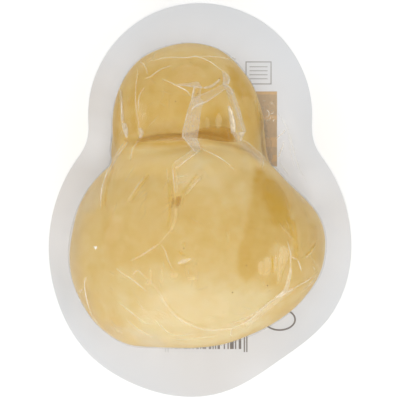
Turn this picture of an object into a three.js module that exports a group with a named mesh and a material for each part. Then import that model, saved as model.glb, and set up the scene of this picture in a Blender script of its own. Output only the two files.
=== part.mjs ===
// A smoked scamorza, vacuum packed: a pear-shaped stretched-curd cheese with a round head,
// drawn tight under a clear film on a flat, gourd-shaped sheet of milky film.
// Millimetres, +Z up. The pack lies on its flat back, with +Y from the cheese's foot to its head.
// The origin is on the back face, in the middle of the sheet.
import * as THREE from "three";
import { mergeVertices } from "three/addons/utils/BufferGeometryUtils.js";

// The sheet's outline: a small round for the head and a large one for the body, both on X = 0.
const SHEET_LENGTH = 146;
const SHEET_THICKNESS = 0.5;
const SHEET_HEAD_RADIUS = 41.4;
const SHEET_BODY_RADIUS = 55.9;
const SHEET_WAIST_BLEND = 7;
const SHEET_OUTLINE_POINTS = 144;
// Where the sheet's large round is trimmed flatter, or fuller, than a circle. Angles are in degrees.
const SHEET_TRIM = [
  { angle: 305, spread: 24.5, depth: 4.8 },
  { angle: 222, spread: 22, depth: -1.1 },
];

// The cheese in its film: two rounded lobes, each with its own radii towards the head and the foot
// and above and below its centre. A power of 2 rounds a plan or a profile like an ellipse, and a
// higher one makes it squarer.
const GAP_OVER_SHEET = 0.3;
const BODY = {
  centre: new THREE.Vector3(-0.7, -16.4, 24),
  halfWidth: 45.9,
  reach: { head: 40, foot: 36.5 },
  height: { up: 32, down: 30 },
  plan: { head: 2, foot: 2 },
  profile: { up: 2.3, down: 2.6 },
  // Where the round of the body is fuller or flatter than an ellipse, seen from above.
  unevenness: [
    { angle: 226, spread: 28, share: 0.09 },
    { angle: 318, spread: 24, share: -0.045 },
    { angle: 36, spread: 20, share: -0.09 },
  ],
};
const HEAD = {
  centre: new THREE.Vector3(-4.7, 27, 22),
  halfWidth: 27.1,
  reach: { head: 29.6, foot: 14 },
  height: { up: 21, down: 28 },
  plan: { head: 2, foot: 4 },
  profile: { up: 2.2, down: 2.8 },
  unevenness: [],
};
// A point inside both the head and the body, from which the whole surface can be seen.
const NECK = new THREE.Vector3(-3.5, 17, 23);
// The head meets the body in a tight crease above. At the sides the film makes a web between
// them, which widens towards the sheet and is widest where its slope is this steep or steeper.
const CREASE_BLEND = 3;
const WEB_BLEND = 10;
const WEB_FOOT_BLEND = 28;
const WEB_FOOT_SLOPE = 0.5;
const FOOT_EDGE_BLEND = 5;
// The rays from the neck are crowded towards the body, which is further away than the head.
const RAY_DETAIL = 20;
const RAY_CROWDING = new THREE.Vector3(0, -0.45, 0);
const RAY_MERGE = 1e-4;
const SURFACE_STEPS = 40;
const FARTHEST = 120;

const MATERIALS = {
  cheeseInFilm: new THREE.MeshStandardMaterial({ color: 0xd5b46c, roughness: 0.28, metalness: 0 }),
  milkyFilm: new THREE.MeshStandardMaterial({ color: 0xdedddb, roughness: 0.35, metalness: 0 }),
};

function smoothMax(a, b, blend) {
  const overlap = Math.max(blend - Math.abs(a - b), 0) / blend;
  return Math.max(a, b) + (overlap * overlap * blend) / 4;
}

function smoothMin(a, b, blend) {
  return -smoothMax(-a, -b, blend);
}

// 1 at the stated angle, falling to 0 away from it. All angles are in degrees.
function bumpAt(angle, { angle: middle, spread }) {
  const away = ((((angle - middle) % 360) + 540) % 360) - 180;
  return Math.exp(-((away / spread) ** 2));
}

function degreesOf(x, y) {
  return THREE.MathUtils.radToDeg(Math.atan2(y, x));
}

// How far a ray from a point inside a circle runs before it meets the circle.
function distanceToCircle(start, direction, centre, radius) {
  const offset = start.clone().sub(centre);
  const along = offset.dot(direction);
  return -along + Math.sqrt(along * along - offset.lengthSq() + radius * radius);
}

// The gourd: rays from the waist run to the further of the two rounds, blended where they meet.
// The trimmed outline is then centred on the origin.
function sheetOutline() {
  const head = new THREE.Vector2(0, SHEET_LENGTH / 2 - SHEET_HEAD_RADIUS);
  const body = new THREE.Vector2(0, SHEET_BODY_RADIUS - SHEET_LENGTH / 2);
  const waist = head.clone().add(body);
  const points = [];
  for (let i = 0; i < SHEET_OUTLINE_POINTS; i++) {
    const turn = (i / SHEET_OUTLINE_POINTS) * 2 * Math.PI;
    const ray = new THREE.Vector2(Math.cos(turn), Math.sin(turn));
    const reach = smoothMax(
      distanceToCircle(waist, ray, head, SHEET_HEAD_RADIUS),
      distanceToCircle(waist, ray, body, SHEET_BODY_RADIUS),
      SHEET_WAIST_BLEND,
    );
    const point = waist.clone().addScaledVector(ray, reach);
    const outward = point.clone().sub(body).normalize();
    const angle = degreesOf(outward.x, outward.y);
    const trimmed = SHEET_TRIM.reduce((sum, t) => sum + t.depth * bumpAt(angle, t), 0);
    points.push(point.addScaledVector(outward, -trimmed));
  }
  const middle = new THREE.Box2().setFromPoints(points).getCenter(new THREE.Vector2());
  return points.map((point) => point.sub(middle));
}

function backingSheet() {
  const geometry = new THREE.ExtrudeGeometry(new THREE.Shape(sheetOutline()), {
    depth: SHEET_THICKNESS,
    bevelEnabled: false,
  });
  const mesh = new THREE.Mesh(geometry, MATERIALS.milkyFilm);
  mesh.name = "backing_film";
  return mesh;
}

// Below 1 inside a lobe, 1 on its surface and above 1 outside.
function lobeLevel(lobe, point) {
  const from = point.clone().sub(lobe.centre);
  const angle = degreesOf(from.x, from.y);
  const fullness = lobe.unevenness.reduce((sum, u) => sum + u.share * bumpAt(angle, u), 1);
  const end = from.y > 0 ? "head" : "foot";
  const side = from.z > 0 ? "up" : "down";
  const across = Math.abs(from.x) / lobe.halfWidth;
  const along = Math.abs(from.y) / lobe.reach[end];
  const power = lobe.plan[end];
  const plan = (across ** power + along ** power) ** (1 / power) / fullness;
  const rise = Math.abs(from.z) / lobe.height[side];
  return plan ** lobe.profile[side] + rise ** lobe.profile[side];
}

// How far a ray from the neck runs inside a lobe, found by halving.
function distanceToLobe(lobe, direction) {
  let inside = 0;
  let outside = FARTHEST;
  for (let step = 0; step < SURFACE_STEPS; step++) {
    const middle = (inside + outside) / 2;
    const point = NECK.clone().addScaledVector(direction, middle);
    if (lobeLevel(lobe, point) < 1) inside = middle;
    else outside = middle;
  }
  return inside;
}

// How softly head and body run into each other along a ray from the neck.
function neckBlend(direction) {
  if (direction.z > 0) return THREE.MathUtils.lerp(WEB_BLEND, CREASE_BLEND, direction.z ** 2);
  const share = Math.min(-direction.z / WEB_FOOT_SLOPE, 1);
  return THREE.MathUtils.lerp(WEB_BLEND, WEB_FOOT_BLEND, share);
}

function surfacePoint(direction) {
  const blend = neckBlend(direction);
  let reach = smoothMax(distanceToLobe(BODY, direction), distanceToLobe(HEAD, direction), blend);
  if (direction.z < 0) {
    const floor = NECK.z - SHEET_THICKNESS - GAP_OVER_SHEET;
    reach = smoothMin(reach, floor / -direction.z, FOOT_EDGE_BLEND);
  }
  return NECK.clone().addScaledVector(direction, reach);
}

function cheeseInFilm() {
  let geometry = new THREE.IcosahedronGeometry(1, RAY_DETAIL);
  geometry.deleteAttribute("normal");
  geometry.deleteAttribute("uv");
  geometry = mergeVertices(geometry, RAY_MERGE);
  const position = geometry.getAttribute("position");
  const direction = new THREE.Vector3();
  for (let i = 0; i < position.count; i++) {
    direction.fromBufferAttribute(position, i).add(RAY_CROWDING).normalize();
    position.setXYZ(i, ...surfacePoint(direction).toArray());
  }
  geometry.computeVertexNormals();
  const mesh = new THREE.Mesh(geometry, MATERIALS.cheeseInFilm);
  mesh.name = "cheese_in_film";
  return mesh;
}

const pack = new THREE.Group();
pack.add(backingSheet(), cheeseInFilm());

export default pack;
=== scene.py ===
# %% [markdown]
# # A vacuum-packed smoked scamorza
# The real thing is a pear of stretched curd with a round head, smoked until its skin is golden, then
# sealed under a clear film on a flat sheet of milky film. This lesson dresses two plain solids, the
# sheet and the cheese in its film, with what the eye sees: the cheese with its marks and specks, the
# film drawn over it with its pleats and folds, and the printed sheet underneath.

import math
import random

import bmesh
import bpy
import numpy as np
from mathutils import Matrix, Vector, noise
from mathutils.bvhtree import BVHTree


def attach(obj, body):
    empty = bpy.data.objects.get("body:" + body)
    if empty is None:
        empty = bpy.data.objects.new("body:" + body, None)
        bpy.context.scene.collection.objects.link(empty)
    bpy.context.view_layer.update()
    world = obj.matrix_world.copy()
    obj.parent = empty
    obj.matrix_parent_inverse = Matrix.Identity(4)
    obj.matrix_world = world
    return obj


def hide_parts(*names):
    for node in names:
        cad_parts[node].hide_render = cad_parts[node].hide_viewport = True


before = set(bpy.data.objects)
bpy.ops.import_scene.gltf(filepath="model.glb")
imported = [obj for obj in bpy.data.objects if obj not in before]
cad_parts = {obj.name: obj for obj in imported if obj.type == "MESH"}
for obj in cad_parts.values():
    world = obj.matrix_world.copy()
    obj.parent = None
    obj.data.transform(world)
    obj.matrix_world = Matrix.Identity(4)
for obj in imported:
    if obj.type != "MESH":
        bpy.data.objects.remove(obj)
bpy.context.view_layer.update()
MM = 0.001

# %% [markdown]
# ## The camera
# The pack lies on its back and is seen from straight above, so the camera looks down with the
# cheese's head at the top of the picture. A long lens from 0.9 m keeps the rounded cheese nearly free
# of perspective. Pleats and marks are placed by picture points later on, so the camera comes first: one
# picture point is one ray from the camera.

# %% Camera
PICTURE_SIDE = 400
PICTURE_MIDDLE = 199.5
PIXEL = 0.37 * MM
CAMERA_HEIGHT = 0.9
SENSOR_WIDTH = 36.0

camera = bpy.data.objects.new("camera", bpy.data.cameras.new("camera"))
bpy.context.scene.collection.objects.link(camera)
camera.location = (0, 0, CAMERA_HEIGHT)
camera.data.sensor_width = SENSOR_WIDTH
camera.data.lens = SENSOR_WIDTH * CAMERA_HEIGHT / (PICTURE_SIDE * PIXEL)
bpy.context.scene.camera = camera
print("lens", round(camera.data.lens, 1), "mm")


def table_point(pixel):
    """Where the ray through a picture point meets the table."""
    x, y = pixel
    return Vector(((x - PICTURE_MIDDLE) * PIXEL, (PICTURE_MIDDLE - y) * PIXEL, 0))


def picture_points(places):
    """Picture points of many places, as an array of columns x and y."""
    scale = CAMERA_HEIGHT / (CAMERA_HEIGHT - places[:, 2]) / PIXEL
    return np.column_stack((PICTURE_MIDDLE + places[:, 0] * scale, PICTURE_MIDDLE - places[:, 1] * scale))


# %% [markdown]
# ## Small tools
# A few helpers do the repeated work: one turns a colour that a paint program shows into the linear
# numbers that light adds up in, one adds a shader node with its settings and links, one makes a mesh
# piece from arrays, one gives soft noise of a stated size, for everything that nature made uneven, and
# one adds up soft round spots that are placed in the picture.

# %% Colour and node helpers


def linear(code):
    """An sRGB hex colour such as d8b878 as linear red, green, blue and alpha, by the sRGB curve."""
    shown = [int(code[i:i + 2], 16) / 255 for i in (0, 2, 4)]
    return [c / 12.92 if c <= 0.04045 else ((c + 0.055) / 1.055) ** 2.4 for c in shown] + [1.0]


def add_node(tree, kind, inputs=None, **settings):
    """Adds a node. Each input is a value to set or another node's output to link."""
    node = tree.nodes.new(kind)
    for name, value in settings.items():
        setattr(node, name, value)
    for socket, value in (inputs or {}).items():
        if isinstance(value, bpy.types.NodeSocket):
            tree.links.new(value, node.inputs[socket])
        else:
            node.inputs[socket].default_value = value
    return node


def new_material(name):
    """An empty node material and its tree."""
    material = bpy.data.materials.new(name)
    material.use_nodes = True
    material.node_tree.nodes.clear()
    return material, material.node_tree


# %% Mesh and noise helpers
TINY = 1e-9
NOISE_SHIFT = (17.3, 5.1, 9.7)


def new_piece(name, points, faces, material):
    """A smooth mesh piece from points in metres and faces of point numbers."""
    mesh = bpy.data.meshes.new(name)
    mesh.from_pydata([tuple(p) for p in points], [], [tuple(f) for f in faces])
    mesh.shade_smooth()
    mesh.materials.append(material)
    piece = bpy.data.objects.new(name, mesh)
    bpy.context.scene.collection.objects.link(piece)
    print(name, len(points), "points", len(faces), "faces")
    return piece


def paint(piece, name, values):
    """Stores one number for each point, for a material to read."""
    layer = piece.data.attributes.new(name, "FLOAT", "POINT")
    layer.data.foreach_set("value", np.asarray(values, np.float32))


def points_of(piece):
    """A piece's points and its normals, as arrays of rows."""
    count = len(piece.data.vertices)
    places = np.empty(count * 3, np.float32)
    normals = np.empty(count * 3, np.float32)
    piece.data.vertices.foreach_get("co", places)
    piece.data.vertex_normals.foreach_get("vector", normals)
    return places.reshape(-1, 3).astype(float), normals.reshape(-1, 3).astype(float)


def move_points(piece, places):
    """Puts a piece's points at new places."""
    piece.data.vertices.foreach_set("co", np.asarray(places, np.float32).ravel())
    piece.data.update()


def noise_at(places, size, seed):
    """Soft noise from about -1 to 1, with lumps of about the stated size in metres.

    A seed is any number, and only keeps one noise from repeating another.
    """
    shift = Vector([seed * step for step in NOISE_SHIFT])
    return np.array([noise.noise(Vector(p) / size + shift) for p in places])


def ease(values):
    """A soft step: 0 below 0, 1 above 1."""
    t = np.clip(values, 0, 1)
    return t * t * (3 - 2 * t)


def soft_spots(pixels, spots):
    """The sum of round spots at picture points. Each has a centre, a reach and a share at its centre."""
    total = np.zeros(len(pixels))
    for centre, reach, share in spots.values():
        total += share * np.exp(-((pixels - np.array(centre)) ** 2).sum(axis=1) / reach ** 2)
    return total


# %% [markdown]
# ## A fine skin from a coarse solid
# The solid has the true form but large facets, which a gloss would show. A voxel remesh covers it
# with even, small faces, and a few rounds of smoothing melt the facets away. The film and the cheese
# both start from such a copy, so they follow the solid and each other. The real outline is a little
# fuller than the solid's in some places and slimmer in others, so soft swells at the sides mend both,
# and the film is set off by a hair's breadth so that it clears the cheese.

# %% Fine copies of the solid


def fine_copy(node, name, voxel, smoothing):
    """An evenly meshed and smoothed copy of a solid, as a new piece."""
    piece = bpy.data.objects.new(name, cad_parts[node].data.copy())
    bpy.context.scene.collection.objects.link(piece)
    even = piece.modifiers.new("even faces", "REMESH")
    even.mode = "VOXEL"
    even.voxel_size = voxel
    soft = piece.modifiers.new("soft facets", "SMOOTH")
    soft.iterations = smoothing
    evaluated = piece.evaluated_get(bpy.context.evaluated_depsgraph_get())
    mesh = bpy.data.meshes.new_from_object(evaluated)
    piece.modifiers.clear()
    piece.data = mesh
    mesh.name = name
    mesh.materials.clear()
    mesh.shade_smooth()
    print(name, len(mesh.vertices), "points", len(mesh.polygons), "faces")
    return piece


FILM_VOXEL = 0.65 * MM
FILM_SMOOTHING = 24
CHEESE_VOXEL = 0.59 * MM
CHEESE_SMOOTHING = 16
film = fine_copy("cheese_in_film", "clear_film", FILM_VOXEL, FILM_SMOOTHING)
cheese = fine_copy("cheese_in_film", "cheese", CHEESE_VOXEL, CHEESE_SMOOTHING)

# %% Swells of the outline
SWELLS = {
    # name: centre and reach in picture points, rise in millimetres
    "low left": ((98, 322), 38, 1.0),
    "left": ((70, 270), 26, 0.6),
    "right": ((322, 222), 26, 0.7),
    "low right": ((288, 318), 30, 0.7),
    "head left": ((138, 64), 24, 0.8),
    "head right": ((222, 52), 20, 0.6),
    "right of the neck": ((262, 122), 12, 0.7),
    "right corner": ((268, 150), 12, -0.9),
    "foot left": ((128, 345), 22, 1.2),
    "right foot": ((320, 268), 24, 0.4),
}
FILM_STAND_OFF = 0.3 * MM


def swell(places, normals):
    """How far each point of the sides rises where the outline is fuller, or sinks where it is slimmer."""
    return soft_spots(picture_points(places), SWELLS) * MM * np.clip(1 - normals[:, 2], 0, 1)


for piece, stand_off in ((film, FILM_STAND_OFF), (cheese, 0)):
    places, normals = points_of(piece)
    rise = swell(places, normals)
    move_points(piece, places + normals * (rise + stand_off)[:, None])
    print(piece.name, "swells by", round(rise.min() / MM, 2), "to", round(rise.max() / MM, 2), "mm")

# %% [markdown]
# ## Routes on the film
# Pleats, creases and contact lines run over a rounded surface, which is awkward to draw in three
# dimensions. So each route is a few listed picture points. A curve is run through them, and a
# ray from the camera through each point of the curve finds its place on the film.

# %% Route helpers
# One step along a route, in picture points. A jump longer than the longest step is a drop over an edge.
ROUTE_STEP = 1.2
LONGEST_STEP = 3 * MM


def curve_through(points, step):
    """Points along a smooth curve through a few picture points, about a step apart."""
    knots = np.array([points[0], *points, points[-1]], float)
    found = []
    for before, start, end, after in zip(knots, knots[1:], knots[2:], knots[3:]):
        count = max(1, int(np.linalg.norm(end - start) / step))
        for t in np.arange(count) / count:
            bend = (2 * before - 5 * start + 4 * end - after) * t * t
            twist = (3 * start - before - 3 * end + after) * t ** 3
            found.append(start + 0.5 * ((end - before) * t + bend + twist))
    return np.array([*found, knots[-1]])


def on_skin(pixel, skin):
    """The place and normal where the ray through a picture point meets a skin, or None beside it."""
    place, normal, _, _ = skin.ray_cast(camera.location, table_point(pixel) - camera.location)
    return None if place is None else (np.array(place), np.array(normal))


def lay_route(points, skin):
    """The runs of places and normals of a route on a skin, cut where it drops over an edge."""
    runs = [[]]
    for pixel in curve_through(points, ROUTE_STEP):
        hit = on_skin(pixel, skin)
        if runs[-1] and (hit is None or np.linalg.norm(hit[0] - runs[-1][-1][0]) > LONGEST_STEP):
            runs.append([])
        if hit is not None:
            runs[-1].append(hit)
    return [tuple(map(np.array, zip(*run))) for run in runs if len(run) > 2]


def route_places(points, skin):
    """All the places of a route on a skin."""
    return np.concatenate([places for places, _ in lay_route(points, skin)])


def nearness(places, route, width):
    """1 on a route, falling softly to 0 about a width away."""
    nearest = np.full(len(places), np.inf)
    for point in route:
        nearest = np.minimum(nearest, ((places - point) ** 2).sum(axis=1))
    return np.exp(-nearest / width ** 2)


def inside(pixels, corners, soft, ragged):
    """1 inside a shape with the stated corners, 0 outside, with a soft rim of about 2 soft points."""
    corners = np.array(corners, float)
    nearest = np.full(len(pixels), np.inf)
    within = np.zeros(len(pixels), bool)
    for start, end in zip(corners, np.roll(corners, -1, axis=0)):
        side = end - start
        share = np.clip((pixels - start) @ side / (side @ side), 0, 1)
        nearest = np.minimum(nearest, np.linalg.norm(pixels - start - share[:, None] * side, axis=1))
        straddles = (start[1] > pixels[:, 1]) != (end[1] > pixels[:, 1])
        crossing = start[0] + (pixels[:, 1] - start[1]) * side[0] / (side[1] or TINY)
        within ^= straddles & (pixels[:, 0] < crossing)
    return ease(0.5 + (np.where(within, nearest, -nearest) + ragged) / (2 * soft))


# %% [markdown]
# ## The shape of the cheese
# Stretched curd is tied or pinched off below its head, which leaves a deep crease, and it cools with
# low lumps. Folds of the film press shallow dents into it. The copy of the solid is rounded where it
# meets the sheet, carved along the crease and the dents, and then lumped with noise, but never so far
# that it would touch the film.

# %% Crease and dents, in picture points
CREASE_ROUTE = [(124, 143), (138, 140), (150, 138), (165, 137), (184, 137), (205, 137), (220, 139),
                (232, 141), (245, 145), (256, 151), (263, 157)]
DEEP_CREASE_ROUTE = [(202, 134), (215, 136), (229, 138)]
# The route of the painted shade along the right side of the neck
NECK_SIDE_ROUTE = [(262, 120), (262.8, 132), (263.4, 143), (265, 153)]
DENTS = {
    # name: depth and half width in millimetres, route in picture points
    "slanting dent": (0.2, 1.2, [(197, 173), (190, 182), (181, 193)]),
    "long dent": (0.15, 1.2, [(169, 180), (169, 200), (168, 222)]),
    "left dent": (0.18, 1.3, [(149, 174), (142, 183), (131, 199)]),
    "left shoulder dent": (0.18, 1.4, [(113, 166), (107, 185), (104, 208)]),
    "pinch": (0.9, 0.9, [(178, 197), (177, 204)]),
    "pinch two": (0.6, 0.7, [(172, 198), (171, 205)]),
    "middle dent": (0.15, 1.2, [(184, 240), (183, 247)]),
    "low dent": (0.15, 1.2, [(179, 264), (189, 263)]),
    "far dent": (0.15, 1.0, [(315, 240), (309, 250), (303, 256)]),
    "wedge dent": (0.2, 1.6, [(289, 236), (292, 246), (296, 254)]),
}

smooth_skin = BVHTree.FromObject(film, bpy.context.evaluated_depsgraph_get())
crease = route_places(CREASE_ROUTE, smooth_skin)
deep_crease = route_places(DEEP_CREASE_ROUTE, smooth_skin)
neck_side = route_places(NECK_SIDE_ROUTE, smooth_skin)
print("crease of", len(crease), "places,", len(DENTS), "dents")

# %% Carve the cheese
NEAREST_TO_FILM = 0.12 * MM
FOOT_ROUND = 9 * MM
FOOT_DRAW_IN = 3.2 * MM
CREASE_DEPTH = 1.3 * MM
CREASE_WIDTH = 1.2 * MM
DEEP_CREASE_DEPTH = 0.9 * MM
DEEP_CREASE_WIDTH = 1.4 * CREASE_WIDTH
# Size and height of the lumps, and the share of that height by which all of them are sunk
LUMPS = ((24 * MM, 0.5 * MM), (9 * MM, 0.14 * MM), (3 * MM, 0.035 * MM))
LUMP_SINK = 0.25

places, normals = points_of(cheese)
low = np.clip(1 - places[:, 2] / FOOT_ROUND, 0, 1)
inset = FOOT_DRAW_IN * low ** 2
inset += CREASE_DEPTH * nearness(places, crease, CREASE_WIDTH)
inset += DEEP_CREASE_DEPTH * nearness(places, deep_crease, DEEP_CREASE_WIDTH)
for depth, width, route in DENTS.values():
    inset += depth * MM * nearness(places, route_places(route, smooth_skin), width * MM)
for seed, (size, height) in enumerate(LUMPS):
    inset += height * (LUMP_SINK - noise_at(places, size, seed))
inset = np.maximum(inset, NEAREST_TO_FILM - FILM_STAND_OFF)
move_points(cheese, places - normals * inset[:, None])
print("cheese carved by up to", round(inset.max() / MM, 2), "mm")

# %% [markdown]
# ## Where the film clings
# Under a tight film a smoked cheese shows two tones. Where film and rind touch, moisture wets the
# rind and it looks deep and golden. Where a little air is left it looks paler and duller. The shapes
# are listed, with a soft and ragged rim, and added up into one number for each point: low is airy,
# high is wet. A few of the shapes are painted shade and a few painted light. The crease and the side
# of the neck get a second number, a painted shade that darkens them towards brown, and a third number
# is painted light that makes the bands below the neck a lighter gold.

# %% Shapes of tone, painted shade and painted light, in picture points
TONES = {
    # name: change of tone, softness of the rim and corners in picture points
    "right front": (0.26, 3.5, [(255, 166), (263, 165), (277, 184), (287, 204), (292, 224), (294, 240),
                                (286, 246), (276, 243), (266, 254), (258, 260), (258, 271), (246, 280),
                                (238, 273), (239, 250), (247, 222), (250, 205), (252, 186)]),
    "right heart": (0.2, 4, [(255, 168), (266, 168), (275, 179), (283, 192), (289, 207), (290, 221),
                             (284, 227), (272, 224), (265, 207), (260, 192), (255, 181)]),
    "wedge top": (0.12, 3, [(286, 219), (294, 219), (297, 227), (297, 239), (291, 237), (287, 229)]),
    "right pocket": (0.12, 4, [(212, 107), (226, 103), (227, 122), (213, 122)]),
    "left foot": (-0.1, 8, [(85, 275), (120, 268), (125, 310), (105, 320), (90, 300)]),
    "head right": (0.45, 4, [(228, 66), (237, 69), (247, 86), (252, 97), (240, 98), (233, 87), (230, 80)]),
    "head flank": (0.32, 6, [(240, 98), (253, 97), (261, 115), (262, 152), (256, 150), (247, 141),
                             (246, 128)]),
    # The two head lower tones are painted shade where the head turns under towards the crease.
    "head lower": (0.05, 9, [(140, 122), (181, 118), (181, 138), (140, 138)]),
    "head lower right": (0.06, 8, [(202, 116), (227, 114), (230, 138), (202, 137)]),
    # The left band is partly wet rind and partly painted shade on the head's left flank.
    "left band": (0.42, 6, [(112, 100), (119, 95), (120, 138), (112, 158)]),
    "inner left": (0.12, 3, [(123, 92), (134, 86), (137, 130), (127, 136)]),
    # The next two tones are painted shade just below the crease, where the groove's lower wall catches the
    # light.
    "under the crease": (0.36, 3, [(132, 141), (182, 139), (190, 145), (165, 145), (134, 146)]),
    "under the deep crease": (0.12, 3, [(203, 138), (232, 141), (232, 144), (205, 142)]),
    # Painted light below the deep crease, against the shade of the groove.
    "under the wedge": (-0.2, 3, [(203, 144), (232, 145), (236, 152), (205, 151)]),
    # Partly painted light, on a slope that turns away from most of the light.
    "upper body": (-0.06, 7, [(176, 162), (196, 151), (226, 163), (246, 172), (251, 186), (250, 206),
                             (236, 213), (210, 212), (196, 205), (190, 195), (200, 178)]),
    "shoulder top": (-0.08, 6, [(205, 148), (250, 155), (262, 166), (252, 180), (235, 170)]),
    "head front": (0.22, 8, [(128, 82), (150, 66), (200, 62), (222, 76), (226, 130), (184, 132), (130, 134)]),
    # Partly painted light, on a slope that turns away from most of the light.
    "knot triangle": (-0.12, 4, [(176, 164), (194, 152), (206, 160), (200, 174), (182, 192), (176, 190)]),
    "lower right": (-0.28, 7, [(236, 300), (268, 288), (290, 289), (302, 281), (318, 272), (304, 298),
                               (272, 322), (236, 332)]),
    "lower front": (-0.32, 12, [(150, 290), (170, 274), (200, 282), (240, 286), (275, 292), (270, 306),
                               (235, 325), (190, 325), (160, 345), (140, 330)]),
    "foot middle": (-0.2, 6, [(178, 322), (245, 316), (250, 330), (215, 345), (178, 348)]),
    "foot left": (-0.18, 6, [(118, 292), (140, 292), (146, 322), (128, 326), (116, 308)]),
    "by the ridge": (-0.15, 4, [(274, 266), (290, 264), (292, 284), (276, 286)]),
    "right foot": (0.2, 4, [(255, 318), (261, 303), (272, 288), (284, 291), (300, 283), (317, 271),
                            (319, 282), (304, 301), (284, 316), (264, 324)]),
    "body middle": (0.04, 10, [(190, 212), (246, 212), (246, 246), (190, 250)]),
    "left middle": (0.2, 6, [(104, 220), (124, 220), (124, 242), (104, 242)]),
    "foot": (-0.25, 8, [(120, 330), (150, 320), (200, 332), (260, 318), (270, 322), (215, 345), (150, 347),
                        (120, 340)]),
    # Painted light: a paler tone on the slope below the neck, which turns away from most of the light.
    "below the neck": (-0.16, 5, [(128, 147), (180, 147), (200, 152), (250, 158), (250, 166), (200, 166),
                                  (128, 163)]),
    "low left": (-0.2, 7, [(120, 262), (165, 262), (175, 284), (140, 292), (122, 285)]),
    "low middle": (-0.1, 7, [(195, 262), (235, 262), (238, 282), (200, 284)]),
    "head rim": (0.12, 6, [(112, 100), (124, 74), (142, 58), (140, 70), (126, 90), (120, 140), (112, 150)]),
    "far right": (0.16, 5, [(280, 176), (305, 200), (320, 225), (322, 262), (306, 256), (296, 226)]),
    "head top": (-0.02, 4, [(150, 57), (170, 46), (190, 43), (215, 47), (232, 58), (210, 58), (190, 55)]),
}
# Painted shade: the rind is darkened towards brown in the crease below the head, on the head's underside
# above it and at the corner of the neck.
CREASE_SHADES = {
    # name: depth of shade, softness of the rim and corners in picture points
    "deep crease": (0.25, 2, [(202, 132), (210, 128), (229, 129), (231, 140), (218, 140), (202, 137)]),
    "dark line": (0.45, 1.5, [(150, 135), (182, 133), (182, 137), (150, 139)]),
    "shade over the line": (0.24, 6, [(142, 130), (182, 127), (182, 136), (142, 138)]),
    "shade over the deep crease": (0.34, 6, [(200, 119), (229, 117), (231, 138), (200, 136)]),
    "neck corner": (0.3, 4, [(236, 141), (246, 142), (261, 155), (259, 158), (243, 149)]),
}
# Painted light: the slopes below the neck turn away from most of the light, so they are painted a lighter
# gold.
PAINTED_LIGHT_BANDS = {
    # name: share of the painted light, a lighter gold, softness of the rim and corners in picture points
    "below the neck": (0.5, 7, [(102, 160), (120, 151), (192, 152), (198, 160), (186, 172), (150, 175),
                                (106, 175)]),
    "shoulder": (0.3, 6, [(196, 146), (236, 148), (244, 160), (238, 172), (204, 172)]),
    "right shoulder": (0.4, 5, [(246, 156), (264, 160), (286, 173), (282, 179), (262, 168), (248, 166)]),
}
print(len(TONES), "tones", len(CREASE_SHADES), "shades", len(PAINTED_LIGHT_BANDS), "light bands")

# %% Paint the cheese
# How far a rim strays, in picture points, the size of its waves, and the softness that takes all of it
RAGGED = 3.0
RAGGED_SIZE = 6 * MM
FULLY_RAGGED = 4
SHADE_RAGGED = 0.5
# The plain rind drifts in broad patches, and in fine ones that are drawn out along the cheese
PLAIN_TONE = 0.4
BROAD_DRIFT = 0.1
BROAD_DRIFT_SIZE = 18 * MM
FINE_DRIFT = 0.06
FINE_DRIFT_SIZE = 4 * MM
DRAWN_OUT = (1, 0.4, 1)
STEEP_TONE = 0.26
# Painted shade along the right side of the neck: darker and more golden towards its silhouette.
NECK_SIDE_SHADE = 0.6
NECK_SIDE_SHADE_GOLD = 0.4
NECK_SIDE_WIDTH = 3.0 * MM
# The shapes are seen from above, so they fade out over this span of the upward part of the normal
FADE_FROM = -0.1
FADE_SPAN = 0.5

places, normals = points_of(cheese)
pixels = picture_points(places)
ragged = RAGGED * noise_at(places, RAGGED_SIZE, 5)
ragged += RAGGED / 2 * noise_at(places, RAGGED_SIZE / 3, 6)
tone = PLAIN_TONE + BROAD_DRIFT * noise_at(places, BROAD_DRIFT_SIZE, 7)
tone += FINE_DRIFT * noise_at(places * DRAWN_OUT, FINE_DRIFT_SIZE, 12)
for change, soft, corners in TONES.values():
    tone += change * inside(pixels, corners, soft, ragged * min(1, soft / FULLY_RAGGED))
shade = np.zeros(len(places))
for depth, soft, corners in CREASE_SHADES.values():
    shade = np.maximum(shade, depth * inside(pixels, corners, soft, SHADE_RAGGED * ragged))
light = np.zeros(len(places))
for share, soft, corners in PAINTED_LIGHT_BANDS.values():
    light = np.maximum(light, share * inside(pixels, corners, soft, ragged))
facing_up = ease((normals[:, 2] - FADE_FROM) / FADE_SPAN)
steep = STEEP_TONE * (1 - np.clip(normals[:, 2], 0, 1)) ** 2
beside = nearness(places, neck_side, NECK_SIDE_WIDTH)
cling = PLAIN_TONE + (tone - PLAIN_TONE) * facing_up + steep + NECK_SIDE_SHADE_GOLD * beside
paint(cheese, "cling", np.clip(cling, 0, 1))
paint(cheese, "crease", np.clip(np.maximum(shade * facing_up, NECK_SIDE_SHADE * beside), 0, 1))
paint(cheese, "light", light * facing_up)
print("tone from", round(float(tone.min()), 2), "to", round(float(tone.max()), 2))

# %% [markdown]
# ## Smoked scamorza rind
# The rind is drawn curd, smooth and slightly waxy, coloured by cold smoke. It lets light in a few
# millimetres, which softens its shading, so it gets subsurface scattering. Five tones come from the
# painted numbers, and fine noise breaks them up: airy, plain and wet rind, a brown painted shade in
# the crease and a lighter gold painted light below the neck. To the eye it is a warm, dull gold with
# a soft glow.

# %% Rind material
AIRY_RIND = "dac591"
RIND = "d1b26d"
WET_RIND = "bf9422"
SHADED_CREASE_RIND = "906b24"
PAINTED_LIGHT_RIND = "e6c67c"
PLAIN_RIND_AT = 0.42
MOTTLE = 0.5
MOTTLE_SIZE = 4 * MM
GRAIN_SIZE = 0.9 * MM
GRAIN_HEIGHT = 0.1 * MM

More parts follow.
